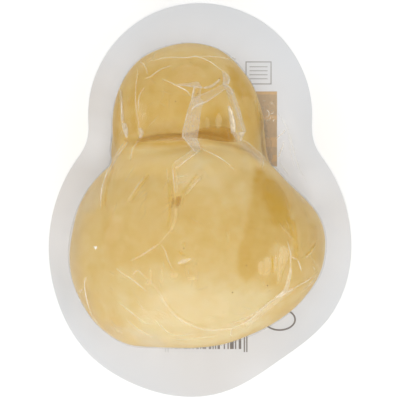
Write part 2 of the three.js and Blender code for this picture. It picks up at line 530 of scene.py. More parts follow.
rind, tree = new_material("smoked_rind")
where = add_node(tree, "ShaderNodeTexCoord").outputs["Object"]
cling_value = add_node(tree, "ShaderNodeAttribute", attribute_name="cling").outputs["Fac"]
crease_shade_value = add_node(tree, "ShaderNodeAttribute", attribute_name="crease").outputs["Fac"]
painted_light_value = add_node(tree, "ShaderNodeAttribute", attribute_name="light").outputs["Fac"]
mottle = add_node(tree, "ShaderNodeTexNoise", {"Vector": where, "Scale": 1 / MOTTLE_SIZE, "Detail": 5.0})
lifted = add_node(tree, "ShaderNodeMath", {0: mottle.outputs["Fac"], 1: MOTTLE, 2: -MOTTLE / 2},
                  operation="MULTIPLY_ADD")
tone = add_node(tree, "ShaderNodeMath", {0: cling_value, 1: lifted.outputs[0]}, operation="ADD",
                use_clamp=True)
ramp = add_node(tree, "ShaderNodeValToRGB", {"Fac": tone.outputs[0]})
ramp.color_ramp.elements[0].color = linear(AIRY_RIND)
ramp.color_ramp.elements[1].color = linear(WET_RIND)
ramp.color_ramp.elements.new(PLAIN_RIND_AT).color = linear(RIND)
golden = add_node(tree, "ShaderNodeMix", {0: painted_light_value, 6: ramp.outputs["Color"], 7: linear(PAINTED_LIGHT_RIND)},
                  data_type="RGBA")
creased = add_node(tree, "ShaderNodeMix", {0: crease_shade_value, 6: golden.outputs[2], 7: linear(SHADED_CREASE_RIND)},
                   data_type="RGBA")
grain = add_node(tree, "ShaderNodeTexNoise", {"Vector": where, "Scale": 1 / GRAIN_SIZE, "Detail": 3.0})
skin = add_node(tree, "ShaderNodeBump", {"Height": grain.outputs["Fac"], "Strength": 0.12,
                                         "Distance": GRAIN_HEIGHT})
rind_shader = add_node(tree, "ShaderNodeBsdfPrincipled", {
    "Base Color": creased.outputs[2], "Normal": skin.outputs[0], "Roughness": 0.5, "IOR": 1.45,
    "Specular IOR Level": 0.3, "Subsurface Weight": 0.3, "Subsurface Scale": 1.0 * MM,
    "Subsurface Radius": (3.0, 1.6, 0.6)})
add_node(tree, "ShaderNodeOutputMaterial", {"Surface": rind_shader.outputs[0]})
cheese.data.materials.append(rind)
print(rind.name, len(tree.nodes), "nodes")

# %% [markdown]
# ## The clear film
# The film is drawn on by vacuum. It hugs the cheese, bridges the neck crease like a tent, and flares
# out at its foot into the weld with the sheet. The copy of the solid loses its underside, its lowest
# band is swept outwards, most of all beside the neck, and it is lifted over the crease. Small gathers
# run round its foot, where there was too much film for the way round.

# %% Cut the underside off the film
FOOT_CUT = 1.5 * MM

cut = bmesh.new()
cut.from_mesh(film.data)
bmesh.ops.bisect_plane(cut, geom=cut.verts[:] + cut.edges[:] + cut.faces[:], plane_co=(0, 0, FOOT_CUT),
                       plane_no=(0, 0, 1), clear_inner=True)
cut.to_mesh(film.data)
cut.free()
print("film", len(film.data.vertices), "points")

# %% Film shape
SHEET_TOP = 0.5 * MM
# The lowest band bends outwards, and then down to the sheet, by these powers of the way to the foot
FLARE_HEIGHT = 9 * MM
FLARE = 3.0 * MM
FLARE_POWER = 2.2
WELD_POWER = 3
TENT = {
    # name: centre and reach in picture points, extra flare in metres
    "right of the neck": ((283, 150), 30, 8.0 * MM),
    "left of the neck": ((104, 150), 22, 3.0 * MM),
}
BRIDGE_LIFT = 0.25 * MM
BRIDGE_WIDTH = 2 * CREASE_WIDTH
RIPPLE_HEIGHT = 0.05 * MM
RIPPLE_SIZE = 4 * MM
# The gathers stray sideways, and some are high and some low
GATHER_COUNT = 46
GATHER_HEIGHT = 0.55 * MM
GATHER_TOP = 22 * MM
GATHER_STRAY = 5
GATHER_STRAY_SIZE = 14 * MM
GATHER_LEVEL = 0.6
GATHER_LEVEL_SIZE = 12 * MM

places, normals = points_of(film)
outward = normals[:, :2] / np.maximum(np.linalg.norm(normals[:, :2], axis=1), TINY)[:, None]
low = np.clip(1 - (places[:, 2] - FOOT_CUT) / FLARE_HEIGHT, 0, 1)
pixels = picture_points(places)
flare = FLARE + soft_spots(pixels, TENT)
angle = np.arctan2(places[:, 1], places[:, 0])
stray = GATHER_STRAY * noise_at(places * (1, 1, 0), GATHER_STRAY_SIZE, 8)
level = GATHER_LEVEL + noise_at(places, GATHER_LEVEL_SIZE, 9)
gathers = GATHER_HEIGHT * ease(1 - places[:, 2] / GATHER_TOP) * level * np.sin(GATHER_COUNT * angle + stray)
lift = BRIDGE_LIFT * nearness(places, crease, BRIDGE_WIDTH)
lift += RIPPLE_HEIGHT * noise_at(places, RIPPLE_SIZE, 10)
places += normals * lift[:, None]
places[:, :2] += outward * (flare * low ** FLARE_POWER + gathers)[:, None]
places[:, 2] += (SHEET_TOP - FOOT_CUT) * low ** WELD_POWER
move_points(film, places)
film_skin = BVHTree.FromObject(film, bpy.context.evaluated_depsgraph_get())
print("film gathers up to", round(gathers.max() / MM, 2), "mm high")

# %% [markdown]
# ## Cast film
# Packing film is a clear polyamide and polythene sheet, cast smooth. It is see-through straight on
# and mirrors the room at a glancing angle, so a share that grows with the fifth power of the slant
# mixes a transparent and a glossy shader. The most it mirrors is a given number. Where it isn't
# pressed to the cheese it also carries a thin white veil.

# %% Film material
FILM_IOR = 1.45
STRAIGHT_MIRROR = ((FILM_IOR - 1) / (FILM_IOR + 1)) ** 2
GLANCING_MIRROR = 0.2
GLANCE_POWER = 5.0
FILM_GLOSS = "dadada"
VEIL = "ebe1d0"

cast_film, tree = new_material("clear_cast_film")
veil_value = add_node(tree, "ShaderNodeAttribute", attribute_name="veil").outputs["Fac"]
facing = add_node(tree, "ShaderNodeLayerWeight", {"Blend": 0.5}).outputs["Facing"]
glancing = add_node(tree, "ShaderNodeMath", {0: facing, 1: GLANCE_POWER}, operation="POWER")
mirror = add_node(tree, "ShaderNodeMath", {0: glancing.outputs[0], 1: GLANCING_MIRROR - STRAIGHT_MIRROR,
                                           2: STRAIGHT_MIRROR}, operation="MULTIPLY_ADD")
through = add_node(tree, "ShaderNodeBsdfTransparent")
gloss = add_node(tree, "ShaderNodeBsdfGlossy", {"Roughness": 0.14, "Color": linear(FILM_GLOSS)})
clear = add_node(tree, "ShaderNodeMixShader", {0: mirror.outputs[0], 1: through.outputs[0],
                                               2: gloss.outputs[0]})
milk = add_node(tree, "ShaderNodeBsdfPrincipled", {"Base Color": linear(VEIL), "Roughness": 0.35})
veiled = add_node(tree, "ShaderNodeMixShader", {0: veil_value, 1: clear.outputs[0], 2: milk.outputs[0]})
add_node(tree, "ShaderNodeOutputMaterial", {"Surface": veiled.outputs[0]})
film.data.materials.append(cast_film)
print(cast_film.name, len(tree.nodes), "nodes")

# %% Veil on the film
VEILS = {
    # name: veil, softness of the rim and corners in picture points
    "left rim": (0.14, 11, [(72, 225), (78, 205), (88, 190), (93, 192), (84, 215), (78, 240), (77, 270),
                           (82, 300), (72, 290), (68, 260)]),
    "left shoulder": (0.1, 4, [(88, 190), (105, 172), (100, 200), (95, 215), (85, 210)]),
    "far right": (0.03, 4, [(262, 164), (280, 172), (310, 205), (322, 230), (326, 262), (316, 270),
                            (313, 245), (304, 250), (296, 225), (288, 205), (276, 184)]),
    "knot": (0.15, 3, [(184, 139), (198, 141), (200, 150), (191, 151)]),
    "left of the neck": (0.01, 3, [(112, 100), (118, 100), (120, 150), (108, 168)]),
    "right of the neck": (0.25, 3, [(232, 140), (240, 140), (262, 156), (262, 164), (245, 150)]),
    "knot triangle": (0.02, 4, [(176, 166), (194, 152), (200, 172), (180, 193), (175, 190)]),
    "foot": (0.14, 5, [(130, 330), (160, 333), (164, 345), (140, 346)]),
    "left rim low": (0.08, 6, [(80, 292), (90, 292), (98, 322), (88, 322)]),
    "foot left": (0.12, 5, [(106, 320), (120, 326), (128, 338), (116, 340), (104, 330)]),
    # The lip veil is a painted highlight on the lower lip of the head.
    "lip": (0.06, 6, [(150, 121), (178, 118), (180, 127), (152, 129)]),
    "web": (0.07, 3, [(264, 108), (279, 112), (290, 130), (297, 160), (307, 182), (290, 172), (276, 160)]),
}
LEAST_VEIL = 0.015
PATCHY_VEIL = 0.03
PATCHY_VEIL_SIZE = 10 * MM
FOOT_VEIL = 0.05

veil = LEAST_VEIL + PATCHY_VEIL * ease(noise_at(places, PATCHY_VEIL_SIZE, 11)) + FOOT_VEIL * low ** 2
ragged = RAGGED * noise_at(places, RAGGED_SIZE, 5)
for depth, soft, corners in VEILS.values():
    veil += depth * inside(pixels, corners, soft, ragged)
paint(film, "veil", veil)
print("veil up to", round(float(veil.max()), 2))

# %% [markdown]
# ## The milky sheet
# The back of the pack is a flat sheet of milky film, cut to a gourd and welded to the clear film all
# round. Cut film never lies quite flat: it cockles in long, low waves towards its rim. The outline is
# read from the solid, rings are laid from the rim to the middle, and the waves are added to both faces.

# %% Sheet shape
SHEET_THICKNESS = 0.35 * MM
SHEET_CLEARANCE = 0.05 * MM
RING_COUNT = 44
SPOKE_COUNT = 288
# Shares of the way out at which the second ring and the last one lie
INNER_SHARES = (0.998, 0.02)
# The sheet is flat up to a share of the way out. Two waves round it, each a count and a shift, cockle it.
COCKLE = 0.5 * MM
FLAT_SHARE = 0.72
WAVES = ((7, 1.3), (4, -0.4))

rim = np.array([v.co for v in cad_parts["backing_film"].data.vertices])
rim_angle = np.arctan2(rim[:, 1], rim[:, 0])
order = np.argsort(rim_angle)
spokes = np.linspace(-math.pi, math.pi, SPOKE_COUNT, endpoint=False)
rim_reach = np.interp(spokes, rim_angle[order], np.hypot(rim[:, 0], rim[:, 1])[order], period=2 * math.pi)


def sheet_height(places):
    """How high the sheet's upper face is at each place."""
    angle = np.arctan2(places[:, 1], places[:, 0])
    reach = np.interp(angle, spokes, rim_reach, period=2 * math.pi)
    share = np.hypot(places[:, 0], places[:, 1]) / reach
    (count, shift), (other_count, other_shift) = WAVES
    waves = 0.5 + 0.5 * np.sin(count * angle + shift) * np.cos(other_count * angle + other_shift)
    cockled = ease((share - FLAT_SHARE) / (1 - FLAT_SHARE))
    return SHEET_THICKNESS + SHEET_CLEARANCE + COCKLE * waves * cockled


shares = np.concatenate(([1], np.linspace(*INNER_SHARES, RING_COUNT - 1)))
circle = np.column_stack((np.cos(spokes), np.sin(spokes))) * rim_reach[:, None]
flat = np.concatenate([np.column_stack((circle * s, np.zeros(SPOKE_COUNT))) for s in shares])
top = flat.copy()
top[:, 2] = sheet_height(flat)
under = top - (0, 0, SHEET_THICKNESS)
half = len(top)
faces = []
for ring in range(RING_COUNT - 1):
    for spoke in range(SPOKE_COUNT):
        near = ring * SPOKE_COUNT + spoke
        side = ring * SPOKE_COUNT + (spoke + 1) % SPOKE_COUNT
        faces.append((near, side, side + SPOKE_COUNT, near + SPOKE_COUNT))
        faces.append((near + half + SPOKE_COUNT, side + half + SPOKE_COUNT, side + half, near + half))
for spoke in range(SPOKE_COUNT):
    side = (spoke + 1) % SPOKE_COUNT
    faces.append((spoke + half, side + half, side, spoke))
last = (RING_COUNT - 1) * SPOKE_COUNT
faces.append(tuple(range(last, last + SPOKE_COUNT)))
faces.append(tuple(range(last + half + SPOKE_COUNT - 1, last + half - 1, -1)))
print("sheet cockles by", round((top[:, 2].max() - top[:, 2].min()) / MM, 2), "mm")

# %% [markdown]
# ## Milky film
# This film is polythene with a little white in it. It is dull white and lets some light through, and
# its calendered surface has a soft satin gloss. Its tone drifts a little at random. Near the cheese it
# is painted warmer, a painted reflection of the cheese's gold, and close to the cheese it is painted
# whiter, a painted light against the shade that the cheese casts on it.

# %% Sheet material
MILKY = "dee1e5"
MILKY_WARM = "dedad6"
PAINTED_LIGHT_WHITE = "f9fbff"
MILKY_COVER = 0.86
SATIN_SIZE = 6 * MM
SATIN_HEIGHT = 0.2 * MM

milky, tree = new_material("milky_film")
where = add_node(tree, "ShaderNodeTexCoord").outputs["Object"]
drift_and_bounce_warmth = add_node(tree, "ShaderNodeAttribute", attribute_name="drift_and_bounce_warmth").outputs["Fac"]
painted_sheet_light = add_node(tree, "ShaderNodeAttribute", attribute_name="painted_sheet_light").outputs["Fac"]
welded = add_node(tree, "ShaderNodeMix", {0: drift_and_bounce_warmth, 6: linear(MILKY), 7: linear(MILKY_WARM)},
                  data_type="RGBA")
tint = add_node(tree, "ShaderNodeMix", {0: painted_sheet_light, 6: welded.outputs[2], 7: linear(PAINTED_LIGHT_WHITE)},
                data_type="RGBA")
ripple = add_node(tree, "ShaderNodeTexNoise", {"Vector": where, "Scale": 1 / SATIN_SIZE, "Detail": 2.0})
satin = add_node(tree, "ShaderNodeBump", {"Height": ripple.outputs["Fac"], "Strength": 0.15,
                                          "Distance": SATIN_HEIGHT})
body = add_node(tree, "ShaderNodeBsdfPrincipled", {"Base Color": tint.outputs[2], "Roughness": 0.38,
                                                   "Normal": satin.outputs[0], "IOR": 1.5})
through = add_node(tree, "ShaderNodeBsdfTransparent")
sheer = add_node(tree, "ShaderNodeMixShader", {0: MILKY_COVER, 1: through.outputs[0], 2: body.outputs[0]})
add_node(tree, "ShaderNodeOutputMaterial", {"Surface": sheer.outputs[0]})
places = np.concatenate((top, under))
sheet = new_piece("milky_sheet", places, faces, milky)

# %% Tone of the sheet
# Painted reflection: near the cheese the sheet is painted warmer, as if lit by light bounced off the cheese's
# gold.
PAINTED_BOUNCE_PLACES = {
    # name: centre and reach in picture points, share of the painted warm bounce
    "left": ((75, 200), 70, 0.9),
    "head left": ((105, 95), 45, 0.65),
    "foot": ((215, 365), 70, 0.55),
    "right": ((338, 215), 40, 0.6),
}
WARM_DRIFT = 0.2
WARM_DRIFT_SIZE = 30 * MM
# Painted light: the sheet is painted whiter close to the cheese, against the shade that the cheese casts on
# it.
PAINTED_LIGHT_REACH = 11 * MM
PAINTED_LIGHT_GAIN = 1.25
PAINTED_LIGHT_PLACES = {
    # name: centre and reach in picture points, share of the painted light to add or take away
    "right corner": ((304, 184), 26, 0.6),
    "head left": ((94, 108), 54, -0.36),
    "head right": ((292, 84), 36, 0.2),
    "left": ((50, 290), 28, -0.45),
    "head top": ((140, 40), 32, -0.15),
    "foot right": ((256, 378), 26, 0.25),
    "right": ((350, 250), 30, 0.15),
}
# The lowest band of the film tells where the cheese ends, and one point in a few is enough of it
FOOT_BAND = 0.2 * MM
FOOT_SKIP = 3

pixels = picture_points(places)
warm = WARM_DRIFT * noise_at(places, WARM_DRIFT_SIZE, 13) + soft_spots(pixels, PAINTED_BOUNCE_PLACES)
paint(sheet, "drift_and_bounce_warmth", np.clip(warm, 0, 1))
film_places, _ = points_of(film)
foot_line = film_places[film_places[:, 2] < film_places[:, 2].min() + FOOT_BAND][::FOOT_SKIP]
painted_sheet_light = PAINTED_LIGHT_GAIN * nearness(places * (1, 1, 0), foot_line * (1, 1, 0), PAINTED_LIGHT_REACH)
paint(sheet, "painted_sheet_light", np.clip(painted_sheet_light + soft_spots(pixels, PAINTED_LIGHT_PLACES), 0, 1))
print("foot line", len(foot_line), "points")

# %% [markdown]
# ## The print
# The sheet carries a plain print: a brown panel with tan bands, a ruled square, an oval ring and a
# field of bars. Ink lies on the film as a thin coat, so each shape is a strip a hair above the sheet
# that follows its waves. A second coat on the underside shows the same shapes from the back.

# %% Ink helper
INK_LIFT = 0.03 * MM


def ink_strip(left, right):
    """A strip between two rows of picture points, on both faces of the sheet."""
    rows = np.array([[table_point(a), table_point(b)] for a, b in zip(left, right)]).reshape(-1, 3)
    rows[:, 2] = sheet_height(rows) + INK_LIFT
    back = rows - (0, 0, SHEET_THICKNESS + 2 * INK_LIFT)
    quads = [(i, i + 1, i + 3, i + 2) for i in range(0, len(rows) - 2, 2)]
    back_quads = [tuple(v + len(rows) for v in reversed(quad)) for quad in quads]
    return np.concatenate((rows, back)), quads + back_quads


def ink_piece(name, strips, material):
    """Joins strips into one printed piece."""
    points, faces = [], []
    for places, quads in strips:
        faces += [tuple(v + len(points) for v in quad) for quad in quads]
        points += list(places)
    return new_piece(name, points, faces, material)


def ink_box(x0, y0, x1, y1, steps=12):
    """A box of ink between two corners in picture points."""
    rows = np.linspace(y0, y1, steps)
    return ink_strip([(x0, y) for y in rows], [(x1, y) for y in rows])


# %% Ink materials
GREY_INK = "7d736d"
BROWN_INK = "ceb088"
TAN_INK = "e0ba86"
INK_GRIT = 0.8 * MM


def ink_material(name, colour):
    """A flexographic ink: matt, thin, and broken by the fine grit of its plate."""
    material, tree = new_material(name)
    where = add_node(tree, "ShaderNodeTexCoord").outputs["Object"]
    grit = add_node(tree, "ShaderNodeTexNoise", {"Vector": where, "Scale": 1 / INK_GRIT, "Detail": 2.0})
    thin = add_node(tree, "ShaderNodeMix", {0: grit.outputs["Fac"], 6: linear(colour),
                                            7: linear(MILKY)}, data_type="RGBA", blend_type="MULTIPLY")
    worn = add_node(tree, "ShaderNodeAttribute", attribute_name="worn").outputs["Fac"]
    faded = add_node(tree, "ShaderNodeMix", {0: worn, 6: thin.outputs[2], 7: linear(MILKY)}, data_type="RGBA")
    coat = add_node(tree, "ShaderNodeBsdfPrincipled", {"Base Color": faded.outputs[2], "Roughness": 0.55})
    add_node(tree, "ShaderNodeOutputMaterial", {"Surface": coat.outputs[0]})
    return material


grey_ink = ink_material("grey_ink", GREY_INK)
brown_ink = ink_material("brown_ink", BROWN_INK)
tan_ink = ink_material("tan_ink", TAN_INK)
print("inks:", grey_ink.name, brown_ink.name, tan_ink.name)

# %% Bars and oval, in picture points
BAR_FIELD = 83.7
BAR_BOTTOM = 348.5
BAR_LONG = 351.5
BAR_TOP = 322
BAR_LEFT = 164.5
BAR_WIDTHS = (1, 1, 1, 2, 1, 3, 1, 1, 2, 1, 3, 2, 1, 1, 2, 1, 1, 3, 1, 2, 1, 1)
BAR_GAPS = (1, 2, 2, 1, 3, 1, 2, 2, 1, 1, 2, 1, 1, 1, 3, 2, 1, 1, 2, 2, 1, 1)
BAR_UNIT = BAR_FIELD / sum(BAR_WIDTHS + BAR_GAPS)
LONG_BARS = 2
OVAL_CENTRE = (279, 319)
OVAL_RADII = (15.5, 10.5)
OVAL_LINE = 1.7
OVAL_STEPS = 73

bars = []
edge = BAR_LEFT
for i, (width, gap) in enumerate(zip(BAR_WIDTHS, BAR_GAPS)):
    bottom = BAR_LONG if i < LONG_BARS or i >= len(BAR_WIDTHS) - LONG_BARS else BAR_BOTTOM
    bars.append(ink_box(edge, BAR_TOP, edge + width * BAR_UNIT, bottom))
    edge += (width + gap) * BAR_UNIT
turns = np.linspace(0, 2 * math.pi, OVAL_STEPS)
ovals = [[(OVAL_CENTRE[0] + (OVAL_RADII[0] + grow) * math.cos(t),
           OVAL_CENTRE[1] + (OVAL_RADII[1] + grow) * math.sin(t)) for t in turns]
         for grow in (-OVAL_LINE / 2, OVAL_LINE / 2)]
print(len(bars), "bars of", round(BAR_UNIT * PIXEL / MM, 2), "mm a unit")

# %% Square, panel and bands, in picture points
SQUARE = (245, 61, 271, 84)
SQUARE_LINE = 1.0
RULE_COUNT = 4
RULE_LINE = 0.7
RULE_INSET = 4
FIRST_RULE = 5
LAST_RULE = 6
PANEL = (236, 91, 276.5, 166)
PANEL_STEPS = 40
TAN_BANDS = ((91, 94), (115, 119), (137, 146.5), (154.5, 161))

x0, y0, x1, y1 = SQUARE
square = [ink_box(x0, y0, x1, y0 + SQUARE_LINE), ink_box(x0, y1 - SQUARE_LINE, x1, y1),
          ink_box(x0, y0, x0 + SQUARE_LINE, y1), ink_box(x1 - SQUARE_LINE, y0, x1, y1)]
rules = np.linspace(y0 + FIRST_RULE, y1 - LAST_RULE, RULE_COUNT)
square += [ink_box(x0 + RULE_INSET, y, x1 - RULE_INSET, y + RULE_LINE) for y in rules]
panel = [ink_box(*PANEL, steps=PANEL_STEPS)]
bands = [ink_box(PANEL[0], low_y, PANEL[2], high_y) for low_y, high_y in TAN_BANDS]
for places, _ in bands:
    places[:, 2] += np.where(places[:, 2] > SHEET_THICKNESS / 2, INK_LIFT / 2, -INK_LIFT / 2)
print(len(square), "lines in the square,", len(bands), "bands on the panel")

# %% Printed pieces
PLAIN_WEAR = 0.1
SQUARE_WEAR = 0.4
# The bars are worn most at the first of these picture columns, and no more than the rest at the last
BAR_WEAR = 0.75
BAR_FADE = (165, 225)

prints = [ink_piece("print_bars", bars, grey_ink), ink_piece("print_oval", [ink_strip(*ovals)], grey_ink),
          ink_piece("print_square", square, grey_ink), ink_piece("print_panel", panel, brown_ink),
          ink_piece("print_bands", bands, tan_ink)]
for piece in prints:
    places, _ = points_of(piece)
    across = picture_points(places)[:, 0]
    fade = BAR_WEAR * ease((BAR_FADE[1] - across) / (BAR_FADE[1] - BAR_FADE[0]))
    worn = {"print_bars": PLAIN_WEAR + fade, "print_square": np.full(len(places), SQUARE_WEAR)}
    paint(piece, "worn", worn.get(piece.name, np.full(len(places), PLAIN_WEAR)))

# %% [markdown]
# ## Pleats in the film
# A flat film can't cover a pear without folding, so spare film gathers in thin pleats that catch the
# light as pale lines, and in a few broad folds that lie double over the neck. Each pleat is a low
# ridge swept along its route: its crest is milky and its feet fade to nothing. A broad fold is a patch
# between two edges, and a short row of numbers says how milky it is from one edge to the other. Both
# go into layers, which are points, faces and a veil for each point.

# %% Layer helpers
# Points across a ridge: how far to the side, how high, and how milky
RIDGE = ((-1, -0.06, 0.0), (-0.55, 0.2, 0.2), (-0.22, 0.55, 0.8), (0, 0.7, 1.0), (0.22, 0.55, 0.8),
         (0.55, 0.2, 0.2), (1, -0.06, 0.0))
RIDGE_VEIL = np.array([r[2] for r in RIDGE])
# A pleat's level of veil, how uneven it is along the way, and the width of its tips
PLEAT_LEVEL = 0.85
PLEAT_UNEVEN = 0.45
PLEAT_UNEVEN_SIZE = 5 * MM
TIP_WIDTH = 0.4
# Shares of the way across a patch at which its points lie, and how deep its rim is sunk into the skin
PATCH_COLUMNS = np.array((0, *np.linspace(0.05, 0.95, 15), 1))
RIM_SINK = 0.3
# A patch's level of veil, how uneven it is at one of its columns, and its veil at both ends
PATCH_LEVEL = 0.95
PATCH_UNEVEN = 0.25
PATCH_UNEVEN_SIZE = 4 * MM
UNEVEN_COLUMN = 7
END_VEIL = 0.3
# Streaks across a patch, their relief, and the upward part of the normal at which a patch is full
STREAKS_ACROSS = 9
STREAK_SHIFT = 3.7
STREAK_RELIEF = 2.3
SIDE_FADE = 0.4


def new_layer():
    """An empty layer."""
    return {"points": [], "faces": [], "veil": []}


def add_grid(layer, rows, veil):
    """Adds a grid of points, with a veil for each, to a layer of points, faces and veils."""
    count = len(rows[0])
    first = len(layer["points"])
    for start in range(first, first + (len(rows) - 1) * count, count):
        layer["faces"] += [(i, i + 1, i + count + 1, i + count) for i in range(start, start + count - 1)]
    layer["points"].extend(np.reshape(rows, (-1, 3)))
    layer["veil"].extend(np.ravel(veil))


def add_pleat(layer, run, width, strength, sharpness, seed, height=0.25):
    """Adds one ridge that tapers to both ends. A low sharpness makes the taper short."""
    places, normals = run
    taper = np.sin(np.linspace(0, math.pi, len(places))) ** sharpness
    uneven = PLEAT_LEVEL + PLEAT_UNEVEN * noise_at(places, PLEAT_UNEVEN_SIZE, seed)
    along = np.gradient(places, axis=0)
    side = np.cross(normals, along)
    side /= np.maximum(np.linalg.norm(side, axis=1), TINY)[:, None]
    half = (width * MM / 2 * (TIP_WIDTH + (1 - TIP_WIDTH) * taper))[:, None, None]
    across = np.array([r[0] for r in RIDGE])[None, :, None]
    rise = height * np.array([r[1] for r in RIDGE])[None, :, None]
    rows = places[:, None] + half * (side[:, None] * across + normals[:, None] * rise)
    add_grid(layer, rows, (strength * taper * uneven)[:, None] * RIDGE_VEIL)


def add_patch(layer, skin, veils, left, right, rise, fade, streak, seed):
    """Adds a patch between two edges on a skin, with a veil across it that fades at both its ends."""
    count = len(curve_through(left, ROUTE_STEP))
    edges = []
    for edge in (left, right):
        curve = curve_through(edge, ROUTE_STEP)
        stops = np.linspace(0, len(curve) - 1, count)
        edges.append(np.column_stack([np.interp(stops, np.arange(len(curve)), curve[:, k]) for k in (0, 1)]))
    rim = (PATCH_COLUMNS == 0) | (PATCH_COLUMNS == 1)
    streaks = np.array([noise.noise(Vector((STREAKS_ACROSS * c, STREAK_SHIFT * seed, 0.5)))
                        for c in PATCH_COLUMNS])
    profile = np.interp(PATCH_COLUMNS, np.linspace(0, 1, len(veils)), veils) * (1 + streak * streaks)
    profile[rim] = 0
    heights = np.where(rim, -RIM_SINK * rise, rise * (1 + STREAK_RELIEF * streak * streaks))
    rows, veil = [], []
    for step, (a, b) in enumerate(zip(*edges)):
        hits = [on_skin(a + (b - a) * c, skin) for c in PATCH_COLUMNS]
        if None in hits:
            continue
        rows.append([place + normal * h for (place, normal), h in zip(hits, heights)])
        end = min(step, count - 1 - step) / max(1, fade * count)
        lump = Vector(hits[UNEVEN_COLUMN][0]) / PATCH_UNEVEN_SIZE + Vector((seed, 0, 0))
        uneven = PATCH_LEVEL + PATCH_UNEVEN * noise.noise(lump)
        facing_up = ease(np.array([normal[2] for _, normal in hits]) / SIDE_FADE)
        veil.append(uneven * min(1, END_VEIL + end) * profile * facing_up)
    if len(rows) > 1:
        add_grid(layer, rows, veil)


